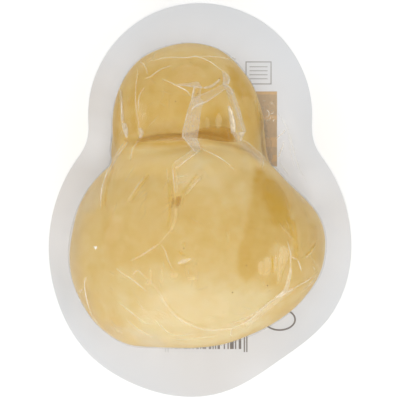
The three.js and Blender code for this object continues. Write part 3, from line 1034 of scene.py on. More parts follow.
# %% Pleat routes
PLEATS = {
    # name: width in millimetres, strength, route in picture points
    "head arc": (1.1, 0.55, [(148, 61), (156, 59), (168, 57), (187, 57), (196, 56), (209, 61), (219, 68),
                             (228, 75), (229, 81), (224, 85)]),
    "head arc branch": (1.0, 0.45, [(196, 56), (209, 56), (221, 57), (233, 60)]),
    "head left stroke": (1.0, 0.45, [(144, 78), (150, 76), (160, 69), (171, 65)]),
    "head middle stroke": (1.0, 0.6, [(161, 78), (172, 83), (180, 87), (187, 91), (190, 96)]),
    "left upright": (1.2, 0.55, [(120, 88), (121, 105), (122, 125), (125, 133), (127, 140)]),
    "inner upright": (1.0, 0.4, [(138, 68), (136, 80), (135, 95), (136, 110), (138, 122), (138, 135)]),
    "inner upright two": (1.0, 0.45, [(144, 87), (140, 93), (138, 100), (138, 112)]),
    "crown twig": (0.9, 0.4, [(139, 61), (143, 64), (146, 69), (147, 74)]),
    "crown twig two": (0.8, 0.3, [(155, 52), (152, 58), (148, 62)]),
    "left knot": (1.0, 0.7, [(125, 140), (119, 149), (111, 162), (105, 176), (101, 190), (100, 208)]),
    "left knot two": (0.9, 0.7, [(128, 141), (121, 150), (113, 163), (107, 176)]),
    "left knot three": (1.0, 0.45, [(139, 139), (133, 147), (131, 152), (130, 160)]),
    "left slant": (0.9, 0.4, [(145, 175), (140, 181), (133, 191), (127, 200)]),
    "left slant two": (0.8, 0.2, [(134, 166), (129, 174), (124, 182)]),
    "knot right": (1.1, 0.5, [(197, 146), (207, 151), (217, 156), (226, 162), (234, 170)]),
    "knot foot": (1.0, 0.45, [(199, 151), (191, 156), (183, 162), (178, 168)]),
    "neck inner hem": (1.0, 0.6, [(206, 101), (200, 103), (194, 106), (190, 111)]),
    "slant": (1.0, 0.28, [(200, 177), (193, 185), (187, 193)]),
    "rung": (0.8, 0.3, [(174, 177), (180, 176), (188, 175)]),
    "rung two": (0.8, 0.22, [(175, 184), (181, 182), (186, 181)]),
    "upright hem": (0.8, 0.5, [(172, 163), (172.5, 172), (173.5, 183), (175, 193)]),
    "long dent hem": (0.8, 0.3, [(166, 168), (167, 176), (168, 183)]),
    "pinch tail": (0.9, 0.2, [(172, 226), (168, 232), (163, 238), (159.5, 242.5)]),
    "low left branch": (1.5, 0.28, [(159, 243), (150, 249), (139, 256), (130, 260)]),
    "low right branch": (0.9, 0.32, [(160, 243), (165, 251), (167, 258), (172, 268), (176, 270)]),
    "right shoulder": (1.2, 0.6, [(240, 139), (247, 142), (255, 149), (262, 155), (269, 162), (277, 169)]),
    "shoulder drop": (0.9, 0.35, [(263, 157), (262, 169)]),
    "lower left arc": (1.0, 0.42, [(115, 267), (122, 273), (130, 278), (138, 284), (146, 291)]),
    "left twig": (0.9, 0.36, [(132, 275), (137, 270), (143, 275)]),
    "long ridge": (2.0, 0.27, [(140, 272), (148, 280), (157, 289), (163, 300), (171, 311), (180, 319),
                               (192, 325), (205, 329), (219, 329), (233, 327), (246, 321), (258, 312),
                               (268, 302), (279, 295), (286, 289)]),
    "right ridge": (1.2, 0.45, [(287, 240), (288.2, 246), (290, 252), (290.2, 258), (290, 264), (290, 272)]),
    "long ridge double": (1.4, 0.27, [(229, 324), (246, 317), (262, 307), (273, 298)]),
    "foot arc": (1.0, 0.42, [(118, 301), (126, 308), (136, 316), (143, 322), (151, 323)]),
    "foot arc two": (1.1, 0.42, [(126, 318), (134, 326), (143, 332), (152, 337)]),
    "foot arc three": (1.0, 0.42, [(155, 319), (162, 327), (169, 333), (178, 335), (190, 334)]),
    "foot level": (1.3, 0.32, [(170, 339), (185, 339), (200, 337), (215, 336)]),
    "foot twig": (0.8, 0.27, [(155, 309), (161, 311), (169, 315)]),
    "foot left twig": (0.8, 0.3, [(136, 300), (140, 305), (144, 310)]),
    "left rim": (1.5, 0.85, [(86, 276), (84, 283), (85, 292), (87, 302), (90, 311), (95, 320), (100, 326)]),
    "left rim low": (1.1, 0.5, [(94, 318), (101, 326.5), (109, 333), (118, 340)]),
    "right branch": (1.1, 0.5, [(278, 296), (288, 291), (298, 285), (310, 278), (317, 271)]),
    "right twig": (0.9, 0.2, [(279, 222), (283, 228.5), (288, 234), (292, 239), (296.5, 244)]),
    "wedge hem": (1.0, 0.5, [(291, 256), (294, 258), (297, 259)]),
    "right twig two": (1.0, 0.55, [(297, 259), (299, 264), (301, 271)]),
    "right twig three": (0.9, 0.4, [(304, 258), (310, 253), (315, 246)]),
    "far edge": (0.9, 0.35, [(318, 269), (314, 279), (308, 287)]),
    "foot drop": (0.9, 0.3, [(233, 327), (230, 332), (231, 337)]),
    "rim line": (0.9, 0.3, [(277, 169), (288, 178), (297, 188), (305, 198), (311, 207)]),
    "rim line two": (0.9, 0.25, [(281, 175), (290, 184), (298, 194), (305, 205)]),
    "rim line three": (0.8, 0.25, [(284, 181), (292, 190), (299, 202)]),
    "left rim twig": (0.8, 0.45, [(78, 293), (81, 290), (85, 287)]),
}
WELD_LINES = {
    # name: width in millimetres, strength, route in picture points on the film or the sheet
    "web": (1.0, 0.25, [(277, 112), (283, 121), (288, 131), (293, 149), (298, 166), (306, 182)]),
    "web inner": (1.1, 0.6, [(283, 141), (282, 146), (280, 151), (278, 157)]),
    "web cross": (1.1, 0.6, [(285, 129), (282, 133), (278, 136), (274, 140)]),
    "web back": (0.9, 0.2, [(287, 131), (289, 141), (290, 152), (294, 166)]),
    "web low": (0.9, 0.25, [(279, 158), (281, 165), (288, 174)]),
    "head weld": (0.9, 0.5, [(222, 50), (228, 54), (235, 59)]),
    "right weld": (1.0, 0.6, [(320, 268), (316, 276), (309, 284), (300, 292)]),
}
print(len(PLEATS), "pleats", len(WELD_LINES), "weld lines")

# %% Folds and glints
FOLDS = {
    # name: veil from edge to edge, then the two edges in picture points
    "neck fold": ((0.7, 0.45, 0.4, 0.42, 0.38, 0.42, 0.36, 0.5),
                  [(191, 97), (189, 103), (186, 112), (184, 120), (181.5, 130), (181, 138)],
                  [(199, 96), (203, 102), (201, 110), (200, 118), (199, 127), (197, 140)]),
    "neck pocket": ((0.8, 0.4, 0.1, 0.1, 0.15, 0.6), [(193, 86), (191.5, 92), (190.5, 98)],
                    [(201, 86), (200.5, 92), (200, 97)]),
    "neck flap": ((0.65, 0.4, 0.36, 0.45, 0.4), [(181.5, 136), (186, 142), (190, 147), (194, 152)],
                  [(197, 138), (199, 143), (200, 147), (199, 152)]),
    "slanting fold": ((0.48, 0.16, 0.18, 0.24, 0.55),
                      [(228, 79), (219, 85), (208, 90.5), (199, 94), (191, 98)],
                      [(229, 84), (222, 91), (213, 97.5), (205, 103), (194, 108)]),
    "top lens": ((0.3, 0.35, 0.65), [(175, 83.5), (185, 82.5), (192, 81.5), (197, 81), (200, 84)],
                 [(178, 85), (186, 86), (192, 87), (198, 87.5), (203, 88)]),
    "top tail": ((0.5, 0.5), [(202, 86.5), (209, 85), (214, 82), (219, 78)],
                 [(203, 88.5), (210, 87.5), (215, 84.5), (220, 80)]),
    "right hem": ((0.42, 0.34, 0.52), [(230.5, 88), (231.5, 95), (232.5, 101), (235, 109), (237, 116),
                                       (240, 124), (243, 132)],
                  [(232.5, 88), (234.5, 95), (237, 102), (240, 110), (242, 118), (244, 125), (246, 132)]),
    "right core": ((0.25, 0.6, 0.75, 0.4), [(227, 105), (227.3, 110), (228, 116), (229, 124), (230, 133)],
                   [(229.5, 105), (232, 110), (233.5, 114), (235.5, 122), (235.5, 132)]),
    "right middle": ((0.12, 0.26, 0.26, 0.36), [(225, 89), (227, 97), (229.5, 104), (233, 112), (235, 120),
                                               (235.5, 132)],
                     [(231, 88), (233, 96), (235.5, 103), (238.5, 112), (241.5, 122), (244, 132)]),
    "right foot": ((0.25, 0.34, 0.34, 0.66, 0.4), [(230, 132), (233, 136), (237, 141)],
                   [(245.5, 131), (243, 136), (241, 141)]),
    "arc loop": ((0.5, 0.35, 0.6), [(221, 70), (222, 76), (222, 84)], [(226, 73), (229.5, 79), (228, 84)]),
    "left knot facet": ((0.4, 0.55, 0.4), [(121, 122), (122.5, 129), (125, 137)],
                        [(125.5, 122), (128, 129), (127.5, 137)]),
    "left upright band": ((0.2, 0.3, 0.22), [(118.5, 90), (119, 100), (120, 110), (121, 121)],
                          [(122, 90), (122.5, 100), (123, 110), (124.5, 122)]),
    "inner knot facet": ((0.35, 0.5, 0.35), [(138, 127), (138.5, 133), (138, 138)],
                         [(141, 127), (143.5, 132), (141, 138)]),
    "right top": ((0.7, 0.3, 0.3), [(222, 83.5), (226.5, 84.5), (230.5, 87), (233, 93)],
                  [(222.5, 86), (224.5, 89), (226.5, 92.5), (228.5, 97)]),
}
# The low glint and the left speck are painted highlights, and the broad right ridge is partly folded film and
# partly a painted highlight.
GLINTS = {
    # name: veil from edge to edge, then the two edges in picture points
    "low glint": ((0.2, 0.42, 0.4, 0.2), [(176.5, 262.5), (181, 258.8), (186, 257.8), (190.5, 257)],
                  [(177.5, 264), (183, 263.5), (187, 262), (191, 259)]),
    "left speck": ((1, 1), [(92.5, 245.8), (95, 245.8), (97.5, 245.8)],
                   [(94.2, 247.5), (95.3, 249.3), (96.6, 247.5)]),
    "right ridge broad": ((0.2, 0.6, 0.45, 0.6), [(289, 266), (286, 278), (282, 289), (273, 297)],
                          [(291.5, 268), (290, 279), (287, 290), (279, 298)]),
    "knot ridge": ((0.38, 0.14, 0.1, 0.36), [(193, 148), (187, 152), (180, 157), (173, 161)],
                   [(198, 152), (191, 157), (183, 163), (175, 169)]),
    "foot band": ((0.35, 0.28, 0.2, 0.32), [(291, 286.5), (274, 297.5), (263, 306), (251, 316.5), (243, 323)],
                  [(294, 289.5), (279, 301.5), (269.5, 308.5), (257, 319.5), (246, 328)]),
}
print(len(FOLDS), "folds", len(GLINTS), "glints")

# %% Crinkles and foot pleats
CRINKLES = {
    # name: how many, box in picture points, slant in degrees and its spread, strength
    "lower left": (12, (95, 265, 165, 335), 40, 22, 0.16),
    "low middle": (14, (130, 258, 200, 285), 85, 20, 0.13),
    "foot": (8, (150, 300, 260, 338), 5, 18, 0.14),
    "right rim": (20, (284, 205, 318, 285), 62, 18, 0.22),
    "left shoulder": (8, (98, 168, 150, 212), 118, 14, 0.14),
    "upper middle": (12, (165, 155, 205, 215), 105, 40, 0.13),
    "head": (16, (132, 58, 232, 122), 60, 50, 0.18),
    "head right": (10, (226, 75, 256, 148), 75, 15, 0.18),
    "left of the neck": (10, (113, 100, 130, 160), 96, 14, 0.2),
    "middle": (14, (190, 215, 290, 292), 90, 40, 0.1),
}
# The same, and then the shortest and the longest half length in picture points
PANEL_CRINKLES = (24, (262, 98, 275, 120), 60, 60, 1.1, 1.5, 4)
FOOT_PLEATS = {
    # name: centre in metres, first and last angle in degrees, how many
    "round the body": ((-0.0007, -0.0164), 148, 392, 52),
    "round the head": ((-0.0047, 0.027), -8, 188, 34),
}
# Spread of a foot pleat's angle and of its lean, in radians, and its tops and lower end in millimetres
FOOT_TURN = 0.03
FOOT_LEAN = 0.05
FOOT_TOPS = (6, 22)
FOOT_END = 0.7
FOOT_STEPS = 16
FOOT_WIDTHS = (1.6, 3.4)
FOOT_STRENGTHS = (0.12, 0.32)
# Level rays to the centre start this far out, in metres, and a pleat needs a few places on the film
FOOT_REACH = 0.12
FEWEST_PLACES = 4
# Spread of a crinkle's bow, as a share of its half length, and its widths and shares of strength
CRINKLE_BOW = 0.18
CRINKLE_WIDTHS = (0.6, 1.0)
CRINKLE_STRENGTHS = (0.5, 1.2)
print(sum(row[0] for row in CRINKLES.values()), "crinkles")
print(sum(row[-1] for row in FOOT_PLEATS.values()), "foot pleats")

# %% Build the pleats
FOLD_RISE = 0.12 * MM
FOLD_FADE = 0.08
FOLD_STREAK = 0.3
PLEAT_GAIN = 1.4
# A low sharpness makes a pleat keep its width nearly to its ends
PLEAT_SHARPNESS = 0.4
CRINKLE_SHARPNESS = 1.0
FOOT_SHARPNESS = 0.6
pleat_and_glint_layer = new_layer()
fold_layer = new_layer()


def level_run(centre, turn, lean, heights):
    """A run down the film's side, found by level rays towards a centre at falling heights."""
    run = []
    for height in heights:
        angle = turn + lean * height / heights[0]
        out = Vector((math.cos(angle), math.sin(angle), 0))
        place, normal, _, _ = film_skin.ray_cast(Vector((*centre, height)) + out * FOOT_REACH, -out)
        if place is not None:
            run.append((np.array(place), np.array(normal)))
    return tuple(map(np.array, zip(*run)))


for seed, (width, strength, points) in enumerate(PLEATS.values()):
    for run in lay_route(points, film_skin):
        add_pleat(pleat_and_glint_layer, run, width, PLEAT_GAIN * strength, PLEAT_SHARPNESS, seed)
both = [points_of(piece)[0] for piece in (film, sheet)]
both_faces = [tuple(face.vertices) for face in film.data.polygons]
both_faces += [tuple(v + len(both[0]) for v in face.vertices) for face in sheet.data.polygons]
pack_skin = BVHTree.FromPolygons(np.concatenate(both).tolist(), both_faces)
for seed, (width, strength, points) in enumerate(WELD_LINES.values()):
    for run in lay_route(points, pack_skin):
        add_pleat(pleat_and_glint_layer, run, width, strength, PLEAT_SHARPNESS, seed)
chance = random.Random(4)


def add_crinkles(skin, count, box, slant, spread, strength, shortest=3, longest=10):
    """Adds short bowed pleats at seeded places inside a box of picture points."""
    x0, y0, x1, y1 = box
    for _ in range(count):
        start = np.array((chance.uniform(x0, x1), chance.uniform(y0, y1)))
        turn = math.radians(chance.gauss(slant, spread))
        along = np.array((math.cos(turn), math.sin(turn))) * chance.uniform(shortest, longest)
        bow = np.array((-along[1], along[0])) * chance.gauss(0, CRINKLE_BOW)
        for run in lay_route([start - along, start + bow, start + along], skin):
            width = chance.uniform(*CRINKLE_WIDTHS)
            full = strength * chance.uniform(*CRINKLE_STRENGTHS)
            add_pleat(pleat_and_glint_layer, run, width, full, CRINKLE_SHARPNESS, 0)


for crinkles in CRINKLES.values():
    add_crinkles(film_skin, *crinkles)
for centre, first, last, count in FOOT_PLEATS.values():
    for turn in np.linspace(math.radians(first), math.radians(last), count):
        turn += chance.gauss(0, FOOT_TURN)
        heights = np.linspace(chance.uniform(*FOOT_TOPS), FOOT_END, FOOT_STEPS) * MM
        run = level_run(centre, turn, chance.gauss(0, FOOT_LEAN), heights)
        if run and len(run[0]) >= FEWEST_PLACES:
            width = chance.uniform(*FOOT_WIDTHS)
            add_pleat(pleat_and_glint_layer, run, width, chance.uniform(*FOOT_STRENGTHS), FOOT_SHARPNESS, 1)
add_crinkles(pack_skin, *PANEL_CRINKLES)
for seed, (veils, left, right) in enumerate(FOLDS.values()):
    add_patch(fold_layer, film_skin, veils, left, right, FOLD_RISE, FOLD_FADE, FOLD_STREAK, seed)
for seed, (veils, left, right) in enumerate(GLINTS.values()):
    add_patch(pleat_and_glint_layer, film_skin, veils, left, right, FOLD_RISE, FOLD_FADE, FOLD_STREAK, seed)
print("pleats", len(pleat_and_glint_layer["points"]), "points, folds", len(fold_layer["points"]), "points")

# %% [markdown]
# ## Folded film
# Folded film is the same clear film seen edge on or double, so more of its faces scatter light and it
# turns milky. The veil stored on each point mixes a transparent shader with a pale, glossy one, and
# fine noise makes it streaky. Single crests look cream, and doubled folds a little greyer where thin.

# %% Pleat material
THIN_CREST = "ebdfc6"
DENSE_CREST = "fbf5ea"
THIN_FOLD = "cdc7ba"
DENSE_FOLD = "f3e8d2"
# Veils at which the thin colour begins to turn and the dense one is reached, and the size of streaks
FILM_TURN = (0.42, 0.75)
FILM_STREAKS = 1.1 * MM
# The span of the noise that is used, and how far it thins or thickens the veil
STREAK_SPAN = (0.3, 0.7)
STREAK_GAIN = (0.75, 1.15)


def veiled_material(name, thin, dense, turn, roughness, streak_size):
    """A coat as dense as the veil painted on its points, with one colour where thin and one where dense."""
    material, tree = new_material(name)
    where = add_node(tree, "ShaderNodeTexCoord").outputs["Object"]
    veil_value = add_node(tree, "ShaderNodeAttribute", attribute_name="veil").outputs["Fac"]
    streaks = add_node(tree, "ShaderNodeTexNoise", {"Vector": where, "Scale": 1 / streak_size, "Detail": 3.0})
    streaky = add_node(tree, "ShaderNodeMapRange", {
        0: streaks.outputs["Fac"], 1: STREAK_SPAN[0], 2: STREAK_SPAN[1], 3: STREAK_GAIN[0],
        4: STREAK_GAIN[1]})
    share = add_node(tree, "ShaderNodeMath", {0: veil_value, 1: streaky.outputs[0]}, operation="MULTIPLY",
                     use_clamp=True)
    density = add_node(tree, "ShaderNodeMapRange", {0: share.outputs[0], 1: turn[0], 2: turn[1], 3: 0.0,
                                                    4: 1.0})
    colour = add_node(tree, "ShaderNodeMix", {0: density.outputs[0], 6: linear(thin), 7: linear(dense)},
                      data_type="RGBA")
    through = add_node(tree, "ShaderNodeBsdfTransparent")
    coat = add_node(tree, "ShaderNodeBsdfPrincipled", {
        "Base Color": colour.outputs[2], "Roughness": roughness, "Specular IOR Level": 0.3})
    mixed = add_node(tree, "ShaderNodeMixShader", {0: share.outputs[0], 1: through.outputs[0],
                                                   2: coat.outputs[0]})
    add_node(tree, "ShaderNodeOutputMaterial", {"Surface": mixed.outputs[0]})
    return material


def veiled_piece(name, layer, material):
    """The piece made of one layer. It is thinner than any shadow that could be seen, so it casts none."""
    piece = new_piece(name, layer["points"], layer["faces"], material)
    paint(piece, "veil", np.clip(layer["veil"], 0, 1))
    piece.visible_shadow = False
    return piece


creased_film_and_glints = veiled_material("creased_film_and_glints", THIN_CREST, DENSE_CREST, FILM_TURN, 0.3, FILM_STREAKS)
doubled_film = veiled_material("doubled_film", THIN_FOLD, DENSE_FOLD, FILM_TURN, 0.3, FILM_STREAKS)
pleats = [veiled_piece("film_pleats_and_glints", pleat_and_glint_layer, creased_film_and_glints),
          veiled_piece("film_folds", fold_layer, doubled_film)]

# %% [markdown]
# ## Wet marks, painted shade and pale patches on the rind
# Where a fold of the film presses on the rind, moisture gathers under it in narrow golden lines. In the
# deep crease below the head and in two small pinches the rind is painted a darker brown: painted shade.
# Where the film lifts off, small patches dry and turn pale, and a few pale patches are painted
# highlights and painted reflections. All three are finer than the mesh of the cheese, so they are thin
# pieces of their own that lie on the rind, made in the same way as the pleats.

# %% Wet marks, in picture points
WET_LINES = {
    # name: width in millimetres, strength, route in picture points
    "slanting dent": (2.2, 0.5, [(197, 173), (190, 182), (181, 193)]),
    "slanting dent two": (0.9, 0.3, [(186, 191), (183, 198), (182, 206)]),
    "long dent": (2.4, 0.48, [(168, 178), (169, 192), (169, 205), (169, 216), (167, 227)]),
    "upright dent": (0.9, 0.35, [(171, 176), (172, 186), (173, 197)]),
    "left dent": (2.4, 0.42, [(149, 174), (142, 183), (136, 191), (131, 200)]),
    "left shoulder dent": (3.2, 0.42, [(113, 166), (109, 177), (106.5, 187), (105, 198), (104.5, 208)]),
    "left neck line": (1.2, 0.35, [(119, 152), (114, 162), (110, 172)]),
    "flame gap": (1.3, 0.75, [(271.5, 255), (272, 264), (272, 273)]),
    "flame gap two": (1.0, 0.6, [(285, 266), (282, 273), (280, 282)]),
    "far dent": (1.8, 0.5, [(301, 257.5), (306, 254), (311, 249), (314.5, 244.5), (315.5, 240)]),
    "shoulder line": (1.2, 0.5, [(278, 221), (282, 226), (286, 231)]),
    "glint shade": (1.4, 0.25, [(178, 264.5), (184, 264), (190, 262)]),
    "middle spot": (1.8, 0.4, [(184, 241), (183, 247)]),
    "middle spot two": (1.8, 0.3, [(178, 250), (182, 254), (185, 255)]),
    "low dent": (1.0, 0.12, [(205, 314), (212, 317), (222, 317)]),
    "low dent two": (1.4, 0.2, [(228, 323), (236, 321), (244, 318)]),
    "long ridge shade": (1.2, 0.25, [(166, 300), (174, 311), (183, 318), (194, 323), (208, 327)]),
}
WET_PATCHES = {
    # name: strength from edge to edge, then the two edges in picture points
    # The neck edge is partly wet rind and partly painted shade on the flank beside the neck.
    "neck edge": ((0.0, 0.3, 0.5, 0.4, 0.2), [(252, 100), (255, 116), (256, 130), (257, 142), (259, 153)],
                  [(257, 100), (262, 116), (265, 130), (266, 142), (268, 154)]),
    "gold wedge": ((0.18, 0.28, 0.25), [(286, 220), (288, 228), (291, 237), (293, 247), (294, 257)],
                   [(294, 219), (296.5, 227), (297, 237), (298, 248), (298, 258)]),
    "shoulder heart": ((0.05, 0.18, 0.24, 0.28), [(262, 178), (264, 192), (267, 208), (272, 225)],
                       [(274, 180), (284, 191), (289, 205), (291, 225)]),
    "far patch": ((0.0, 0.12, 0.0), [(307, 222), (308, 232), (308, 243)],
                  [(316, 224), (318, 232), (316, 242)]),
    "neck pocket": ((0.1, 0.25, 0.1), [(193, 88), (192.5, 93), (192, 98)],
                    [(199, 88), (198.5, 93), (197.5, 97)]),
    "fold pocket": ((0.1, 0.35, 0.1), [(224, 87), (226, 91), (228.5, 98), (231, 106)],
                    [(230, 87), (231, 92), (232, 100), (234.5, 110)]),
}
print(len(WET_LINES), "wet lines", len(WET_PATCHES), "wet patches")

# %% Painted shade in the crease and the pinches, in picture points
SHADE_LINES = {
    # name: width in millimetres, strength, route in picture points
    "fold foot": (1.0, 0.5, [(182.5, 138), (190, 139.3), (197, 139.6)]),
}
SHADE_PATCHES = {
    # name: strength from edge to edge, then the two edges in picture points
    "deep crease": ((0.35, 0.8, 0.92, 0.92, 0.92, 0.9, 0.5),
                    [(190, 131), (197, 128.5), (204, 126.5), (213, 125.5), (223, 125.5), (231, 128),
                     (237, 134)],
                    [(190, 137.5), (197, 138), (206, 139), (214, 140.5), (222, 141.5), (231, 142),
                     (237, 142)]),
    "crease line": ((0.1, 0.45, 0.75, 0.8, 0.5, 0.15),
                    [(136, 138.5), (148, 134.5), (160, 133), (172, 132.3), (186, 132), (196, 131)],
                    [(136, 142.5), (148, 141.5), (160, 141), (172, 141), (186, 141), (196, 140)]),
    "pinch": ((0.3, 0.65, 0.5), [(175.5, 196), (175, 201), (176, 206)],
              [(181, 195), (180.5, 201), (178, 206)]),
    "pinch two": ((0.15, 0.4, 0.25), [(171, 197), (170.5, 203), (169.5, 208)],
                  [(174, 197), (173.5, 203), (172, 208)]),
    "pinch bridge": ((0.3, 0.38), [(172, 199), (175, 199), (178, 199)],
                     [(172, 204), (175, 204), (178, 204)]),
}
print(len(SHADE_LINES), "stained line", len(SHADE_PATCHES), "stained patches")

# %% Dry patches and painted highlights, in picture points
DRY_PATCHES_AND_HIGHLIGHTS = {
    # name: strength from edge to edge, then the two edges in picture points
    # The two tears are painted highlights on the head's lower front.
    "tear one": ((0.28, 0.34, 0.28), [(217.5, 112), (214.8, 119), (215.5, 126), (218, 131)],
                 [(219, 112), (221.5, 119), (220.5, 126), (218.5, 131)]),
    "tear two": ((0.1, 0.25, 0.1), [(206, 116), (203, 122), (206, 129)],
                 [(207, 116), (210, 122), (208, 129)]),
    # The flames are painted reflections of the light at the foot, in the film over the lower body.
    "flame one left": ((0.24, 0.3, 0.26), [(258.5, 261), (257, 267), (258.5, 274)],
                       [(262.5, 260), (262.5, 267), (262, 276)]),
    "flame one right": ((0.24, 0.3, 0.34, 0.38), [(263.5, 257), (262.5, 266), (262.5, 276)],
                        [(269, 256), (270.8, 264), (268.5, 275)]),
    "flame sliver": ((0.34, 0.42, 0.26), [(275, 255), (273, 263), (274, 272)],
                     [(276.5, 255), (276.5, 263), (275.5, 272)]),
    "flame two": ((0.42, 0.46, 0.34, 0.42), [(280, 246), (278, 254), (277, 262), (277, 272), (276, 284)],
                  [(285, 245), (288, 252), (287, 261), (282, 270), (279, 284)]),
    "upright ridge": ((0.0, 0.32, 0.1), [(172, 162), (173, 172), (174, 182), (175, 193)],
                      [(175, 162), (177, 172), (178, 182), (178, 192)]),
    "below the pinch": ((0.0, 0.35, 0.0), [(173, 206), (172, 216), (168, 231)],
                        [(177, 206), (178, 217), (173, 232)]),
    "slant top": ((0.0, 0.3, 0.0), [(182, 193), (190, 183), (199, 174)],
                  [(185, 197), (194, 187), (203, 178)]),
    "left slant top": ((0.0, 0.35, 0.0), [(125, 202), (133, 191), (141, 179)],
                       [(129, 203), (136, 193), (145, 181)]),
    "blotch one": ((0.0, 0.4, 0.3, 0.0), [(169, 272), (173, 270), (178, 271)],
                   [(169, 278), (173, 280), (178, 277)]),
    "blotch two": ((0.0, 0.4, 0.0), [(186, 276), (191, 275), (196, 277)],
                   [(186, 280), (191, 281), (196, 280)]),
    "blotch three": ((0.0, 0.4, 0.0), [(145, 281), (148, 280), (150, 282)],
                     [(145, 285), (148, 285), (150, 285)]),
    "streak one": ((0.0, 0.35, 0.0), [(148, 268), (149, 276), (149, 284)],
                   [(152, 268), (152, 276), (152, 284)]),
    "streak two": ((0.0, 0.3, 0.0), [(159, 268), (160, 275), (160, 282)],
                   [(163, 268), (163, 275), (163, 282)]),
    "foot fan": ((0.0, 0.35, 0.0), [(110, 318), (117, 327), (122, 331)],
                 [(112, 323), (116, 331), (121, 334)]),
}
print(len(DRY_PATCHES_AND_HIGHLIGHTS), "dry patches")

# %% Lay the marks on the rind
GOLD_MARK = "d2ab1c"
BROWN_MARK = "a3721f"
CREASE_SHADE_COAT = "b68a2e"
DEEP_SHADE_COAT = "af8126"
PALE_TINT = "e8d4a0"
PALEST_TINT = "efdfb4"
RIND_TURN = (0.62, 0.95)
RIND_STREAKS = 1.6 * MM
LINE_RISE = 0.1 * MM
LINE_SHARPNESS = 0.5
MARK_RISE = 0.05 * MM
MARK_FADE = 0.2
MARK_STREAK = 0.08


def lay_marks(lines, patches):
    """A layer of thin lines and patches on the rind."""
    layer = new_layer()
    for seed, (width, strength, points) in enumerate(lines.values()):
        for places, normals in lay_route(points, rind_skin):
            run = (places + LINE_RISE * normals, normals)
            add_pleat(layer, run, width, strength, LINE_SHARPNESS, seed, height=0)
    for seed, (veils, left, right) in enumerate(patches.values()):
        add_patch(layer, rind_skin, veils, left, right, MARK_RISE, MARK_FADE, MARK_STREAK, seed)
    return layer


rind_skin = BVHTree.FromObject(cheese, bpy.context.evaluated_depsgraph_get())
wet_rind = veiled_material("wet_rind", GOLD_MARK, BROWN_MARK, RIND_TURN, 0.5, RIND_STREAKS)
dry_rind_and_highlights = veiled_material("dry_rind_and_highlights", PALE_TINT, PALEST_TINT, RIND_TURN, 0.6, RIND_STREAKS)
painted_shade_rind = veiled_material("painted_shade_rind", CREASE_SHADE_COAT, DEEP_SHADE_COAT, RIND_TURN, 0.55, RIND_STREAKS)
marks = [veiled_piece("wet_marks", lay_marks(WET_LINES, WET_PATCHES), wet_rind),
         veiled_piece("painted_crease_shade", lay_marks(SHADE_LINES, SHADE_PATCHES), painted_shade_rind),
         veiled_piece("dry_patch_and_highlight_marks", lay_marks({}, DRY_PATCHES_AND_HIGHLIGHTS), dry_rind_and_highlights)]

# %% [markdown]
# ## Specks of smoke
# Smoking leaves a few dark specks of ash and tar on the rind, each well under a millimetre. They are
# small six-sided scales that lie on the rind: some at listed places, the rest strewn by a
# seeded draw over the cheese above its foot. They are drawn a little larger than they are, so that
# they show.

# %% Speck material
SPECK_BROWN = "9a7436"
SPECK_DARK = "6b4c20"
SPECK_MOTTLE = 2 * MM

speck_tar, tree = new_material("speck_of_tar")
where = add_node(tree, "ShaderNodeTexCoord").outputs["Object"]
patchy = add_node(tree, "ShaderNodeTexNoise", {"Vector": where, "Scale": 1 / SPECK_MOTTLE})
brown = add_node(tree, "ShaderNodeMix", {0: patchy.outputs["Fac"], 6: linear(SPECK_BROWN),
                                         7: linear(SPECK_DARK)}, data_type="RGBA")
tar = add_node(tree, "ShaderNodeBsdfPrincipled", {"Base Color": brown.outputs[2], "Roughness": 0.6})
add_node(tree, "ShaderNodeOutputMaterial", {"Surface": tar.outputs[0]})
print(speck_tar.name, len(tree.nodes), "nodes")

# %% Strew the specks
SPECK_PLACES = [(267, 188), (272, 193), (283, 199), (283, 204), (246, 265), (267, 285), (315, 227),
                (232, 292), (223, 312), (190, 62), (219, 78), (175, 101)]
STREWN_SPECKS = 24
# Least and greatest radius in millimetres, and how much larger the chosen specks are
SPECK_RADII = (0.12, 0.2)
CHOSEN_GROWTH = 1.45
SPECK_SIDES = np.linspace(0, 2 * math.pi, 6, endpoint=False)
# A direction that no speck faces, from which each speck gets its first side
ASIDE = (0.3, 0.9, 0.1)

places, normals = points_of(cheese)
high = np.flatnonzero(places[:, 2] > FOOT_ROUND)
chance = random.Random(9)
spots = [on_skin(pixel, rind_skin) for pixel in SPECK_PLACES]
spots += [(places[i], normals[i]) for i in chance.sample(list(high), STREWN_SPECKS)]
points, faces = [], []
for number, (place, normal) in enumerate(spots):
    side = np.cross(normal, ASIDE)
    side /= np.linalg.norm(side)
    radius = chance.uniform(*SPECK_RADII) * MM * (CHOSEN_GROWTH if number < len(SPECK_PLACES) else 1)
    faces.append(tuple(range(len(points), len(points) + len(SPECK_SIDES))))
    for turn in SPECK_SIDES:
        points.append(place + MARK_RISE * normal
                      + radius * (math.cos(turn) * side + math.sin(turn) * np.cross(normal, side)))
marks.append(new_piece("smoke_specks", points, faces, speck_tar))

# %% [markdown]
# ## Joining the pieces to the part
# Nothing on the pack moves, so every piece rides on its one body. The cheese and its film stand for
# the solid that held both, and the milky sheet stands for the plain one.

# %% Ride and replace
for piece in (cheese, *marks, film, *pleats):
    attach(piece, "root")
for piece in (sheet, *prints):
    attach(piece, "root")
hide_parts("cheese_in_film")
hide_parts("cheese_in_film")
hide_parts("backing_film")
print(3 + len(marks) + len(pleats) + len(prints), "pieces in place")

# %% [markdown]
# ## Floor and light
# The picture has a bright, even studio: a white table under a large soft light that the gloss doesn't
# show, and four smaller ones all round. The largest of these stands at the foot of the pack, a little
# to the left, and makes the lower half of the cheese glow. The plain colour transform keeps the whites
# white.

# %% Floor
FLOOR_SIZE = 6.0
FLOOR_DROP = 0.1 * MM
FLOOR_WHITE = "fbfbfa"

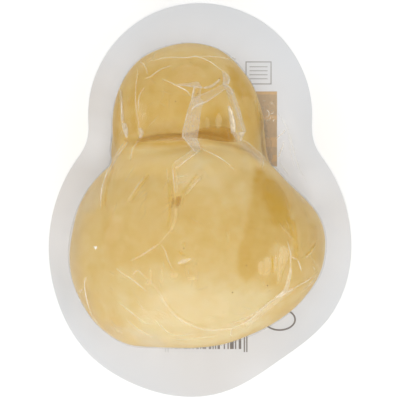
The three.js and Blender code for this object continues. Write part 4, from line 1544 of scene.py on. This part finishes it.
white_table, tree = new_material("white_table")
matt = add_node(tree, "ShaderNodeBsdfPrincipled", {"Base Color": linear(FLOOR_WHITE), "Roughness": 0.8,
                                                   "Specular IOR Level": 0.1})
add_node(tree, "ShaderNodeOutputMaterial", {"Surface": matt.outputs[0]})
reach = FLOOR_SIZE / 2
corners = [(x * reach, y * reach, -FLOOR_DROP) for x, y in ((-1, -1), (1, -1), (1, 1), (-1, 1))]
floor = new_piece("floor", corners, [(0, 1, 2, 3)], white_table)

# %% Lights
SOFT_LIGHTS = {
    # name: place in metres, size in metres, watts, whether the gloss shows it
    "foot light": ((-0.1, -1.3, 0.75), 1.4, 8.0, True),
    "head light": ((0.1, 1.3, 0.9), 0.8, 2.3, True),
    "left light": ((-1.2, 0.3, 0.8), 0.5, 1.2, True),
    "right light": ((1.2, -0.2, 0.8), 0.5, 1.0, True),
    "top light": ((-0.06, -0.06, 2.2), 2.0, 30.2, False),
}

for name, (place, size, watts, in_gloss) in SOFT_LIGHTS.items():
    lamp = bpy.data.lights.new(name, "AREA")
    lamp.shape = "DISK"
    lamp.size = size
    lamp.energy = watts
    holder = bpy.data.objects.new(name, lamp)
    holder.location = place
    holder.rotation_euler = Vector(place).to_track_quat("Z", "Y").to_euler()
    holder.visible_glossy = in_gloss
    bpy.context.scene.collection.objects.link(holder)
print("lights:", list(SOFT_LIGHTS))

# %% Backdrop
BACKDROP_WHITE = "ffffff"
HORIZON_STRENGTH = 0.5
ZENITH_STRENGTH = 0.34

world = bpy.data.worlds.new("studio")
world.use_nodes = True
tree = world.node_tree
tree.nodes.clear()
direction = add_node(tree, "ShaderNodeTexCoord").outputs["Generated"]
height = add_node(tree, "ShaderNodeSeparateXYZ", {0: direction}).outputs["Z"]
sky = add_node(tree, "ShaderNodeMapRange", {0: height, 1: 0.0, 2: 1.0, 3: HORIZON_STRENGTH,
                                            4: ZENITH_STRENGTH})
backdrop = add_node(tree, "ShaderNodeBackground", {"Color": linear(BACKDROP_WHITE),
                                                   "Strength": sky.outputs[0]})
add_node(tree, "ShaderNodeOutputWorld", {"Surface": backdrop.outputs[0]})
bpy.context.scene.world = world
bpy.context.scene.view_settings.view_transform = "Standard"
print("backdrop", HORIZON_STRENGTH, "at the horizon", ZENITH_STRENGTH, "overhead")
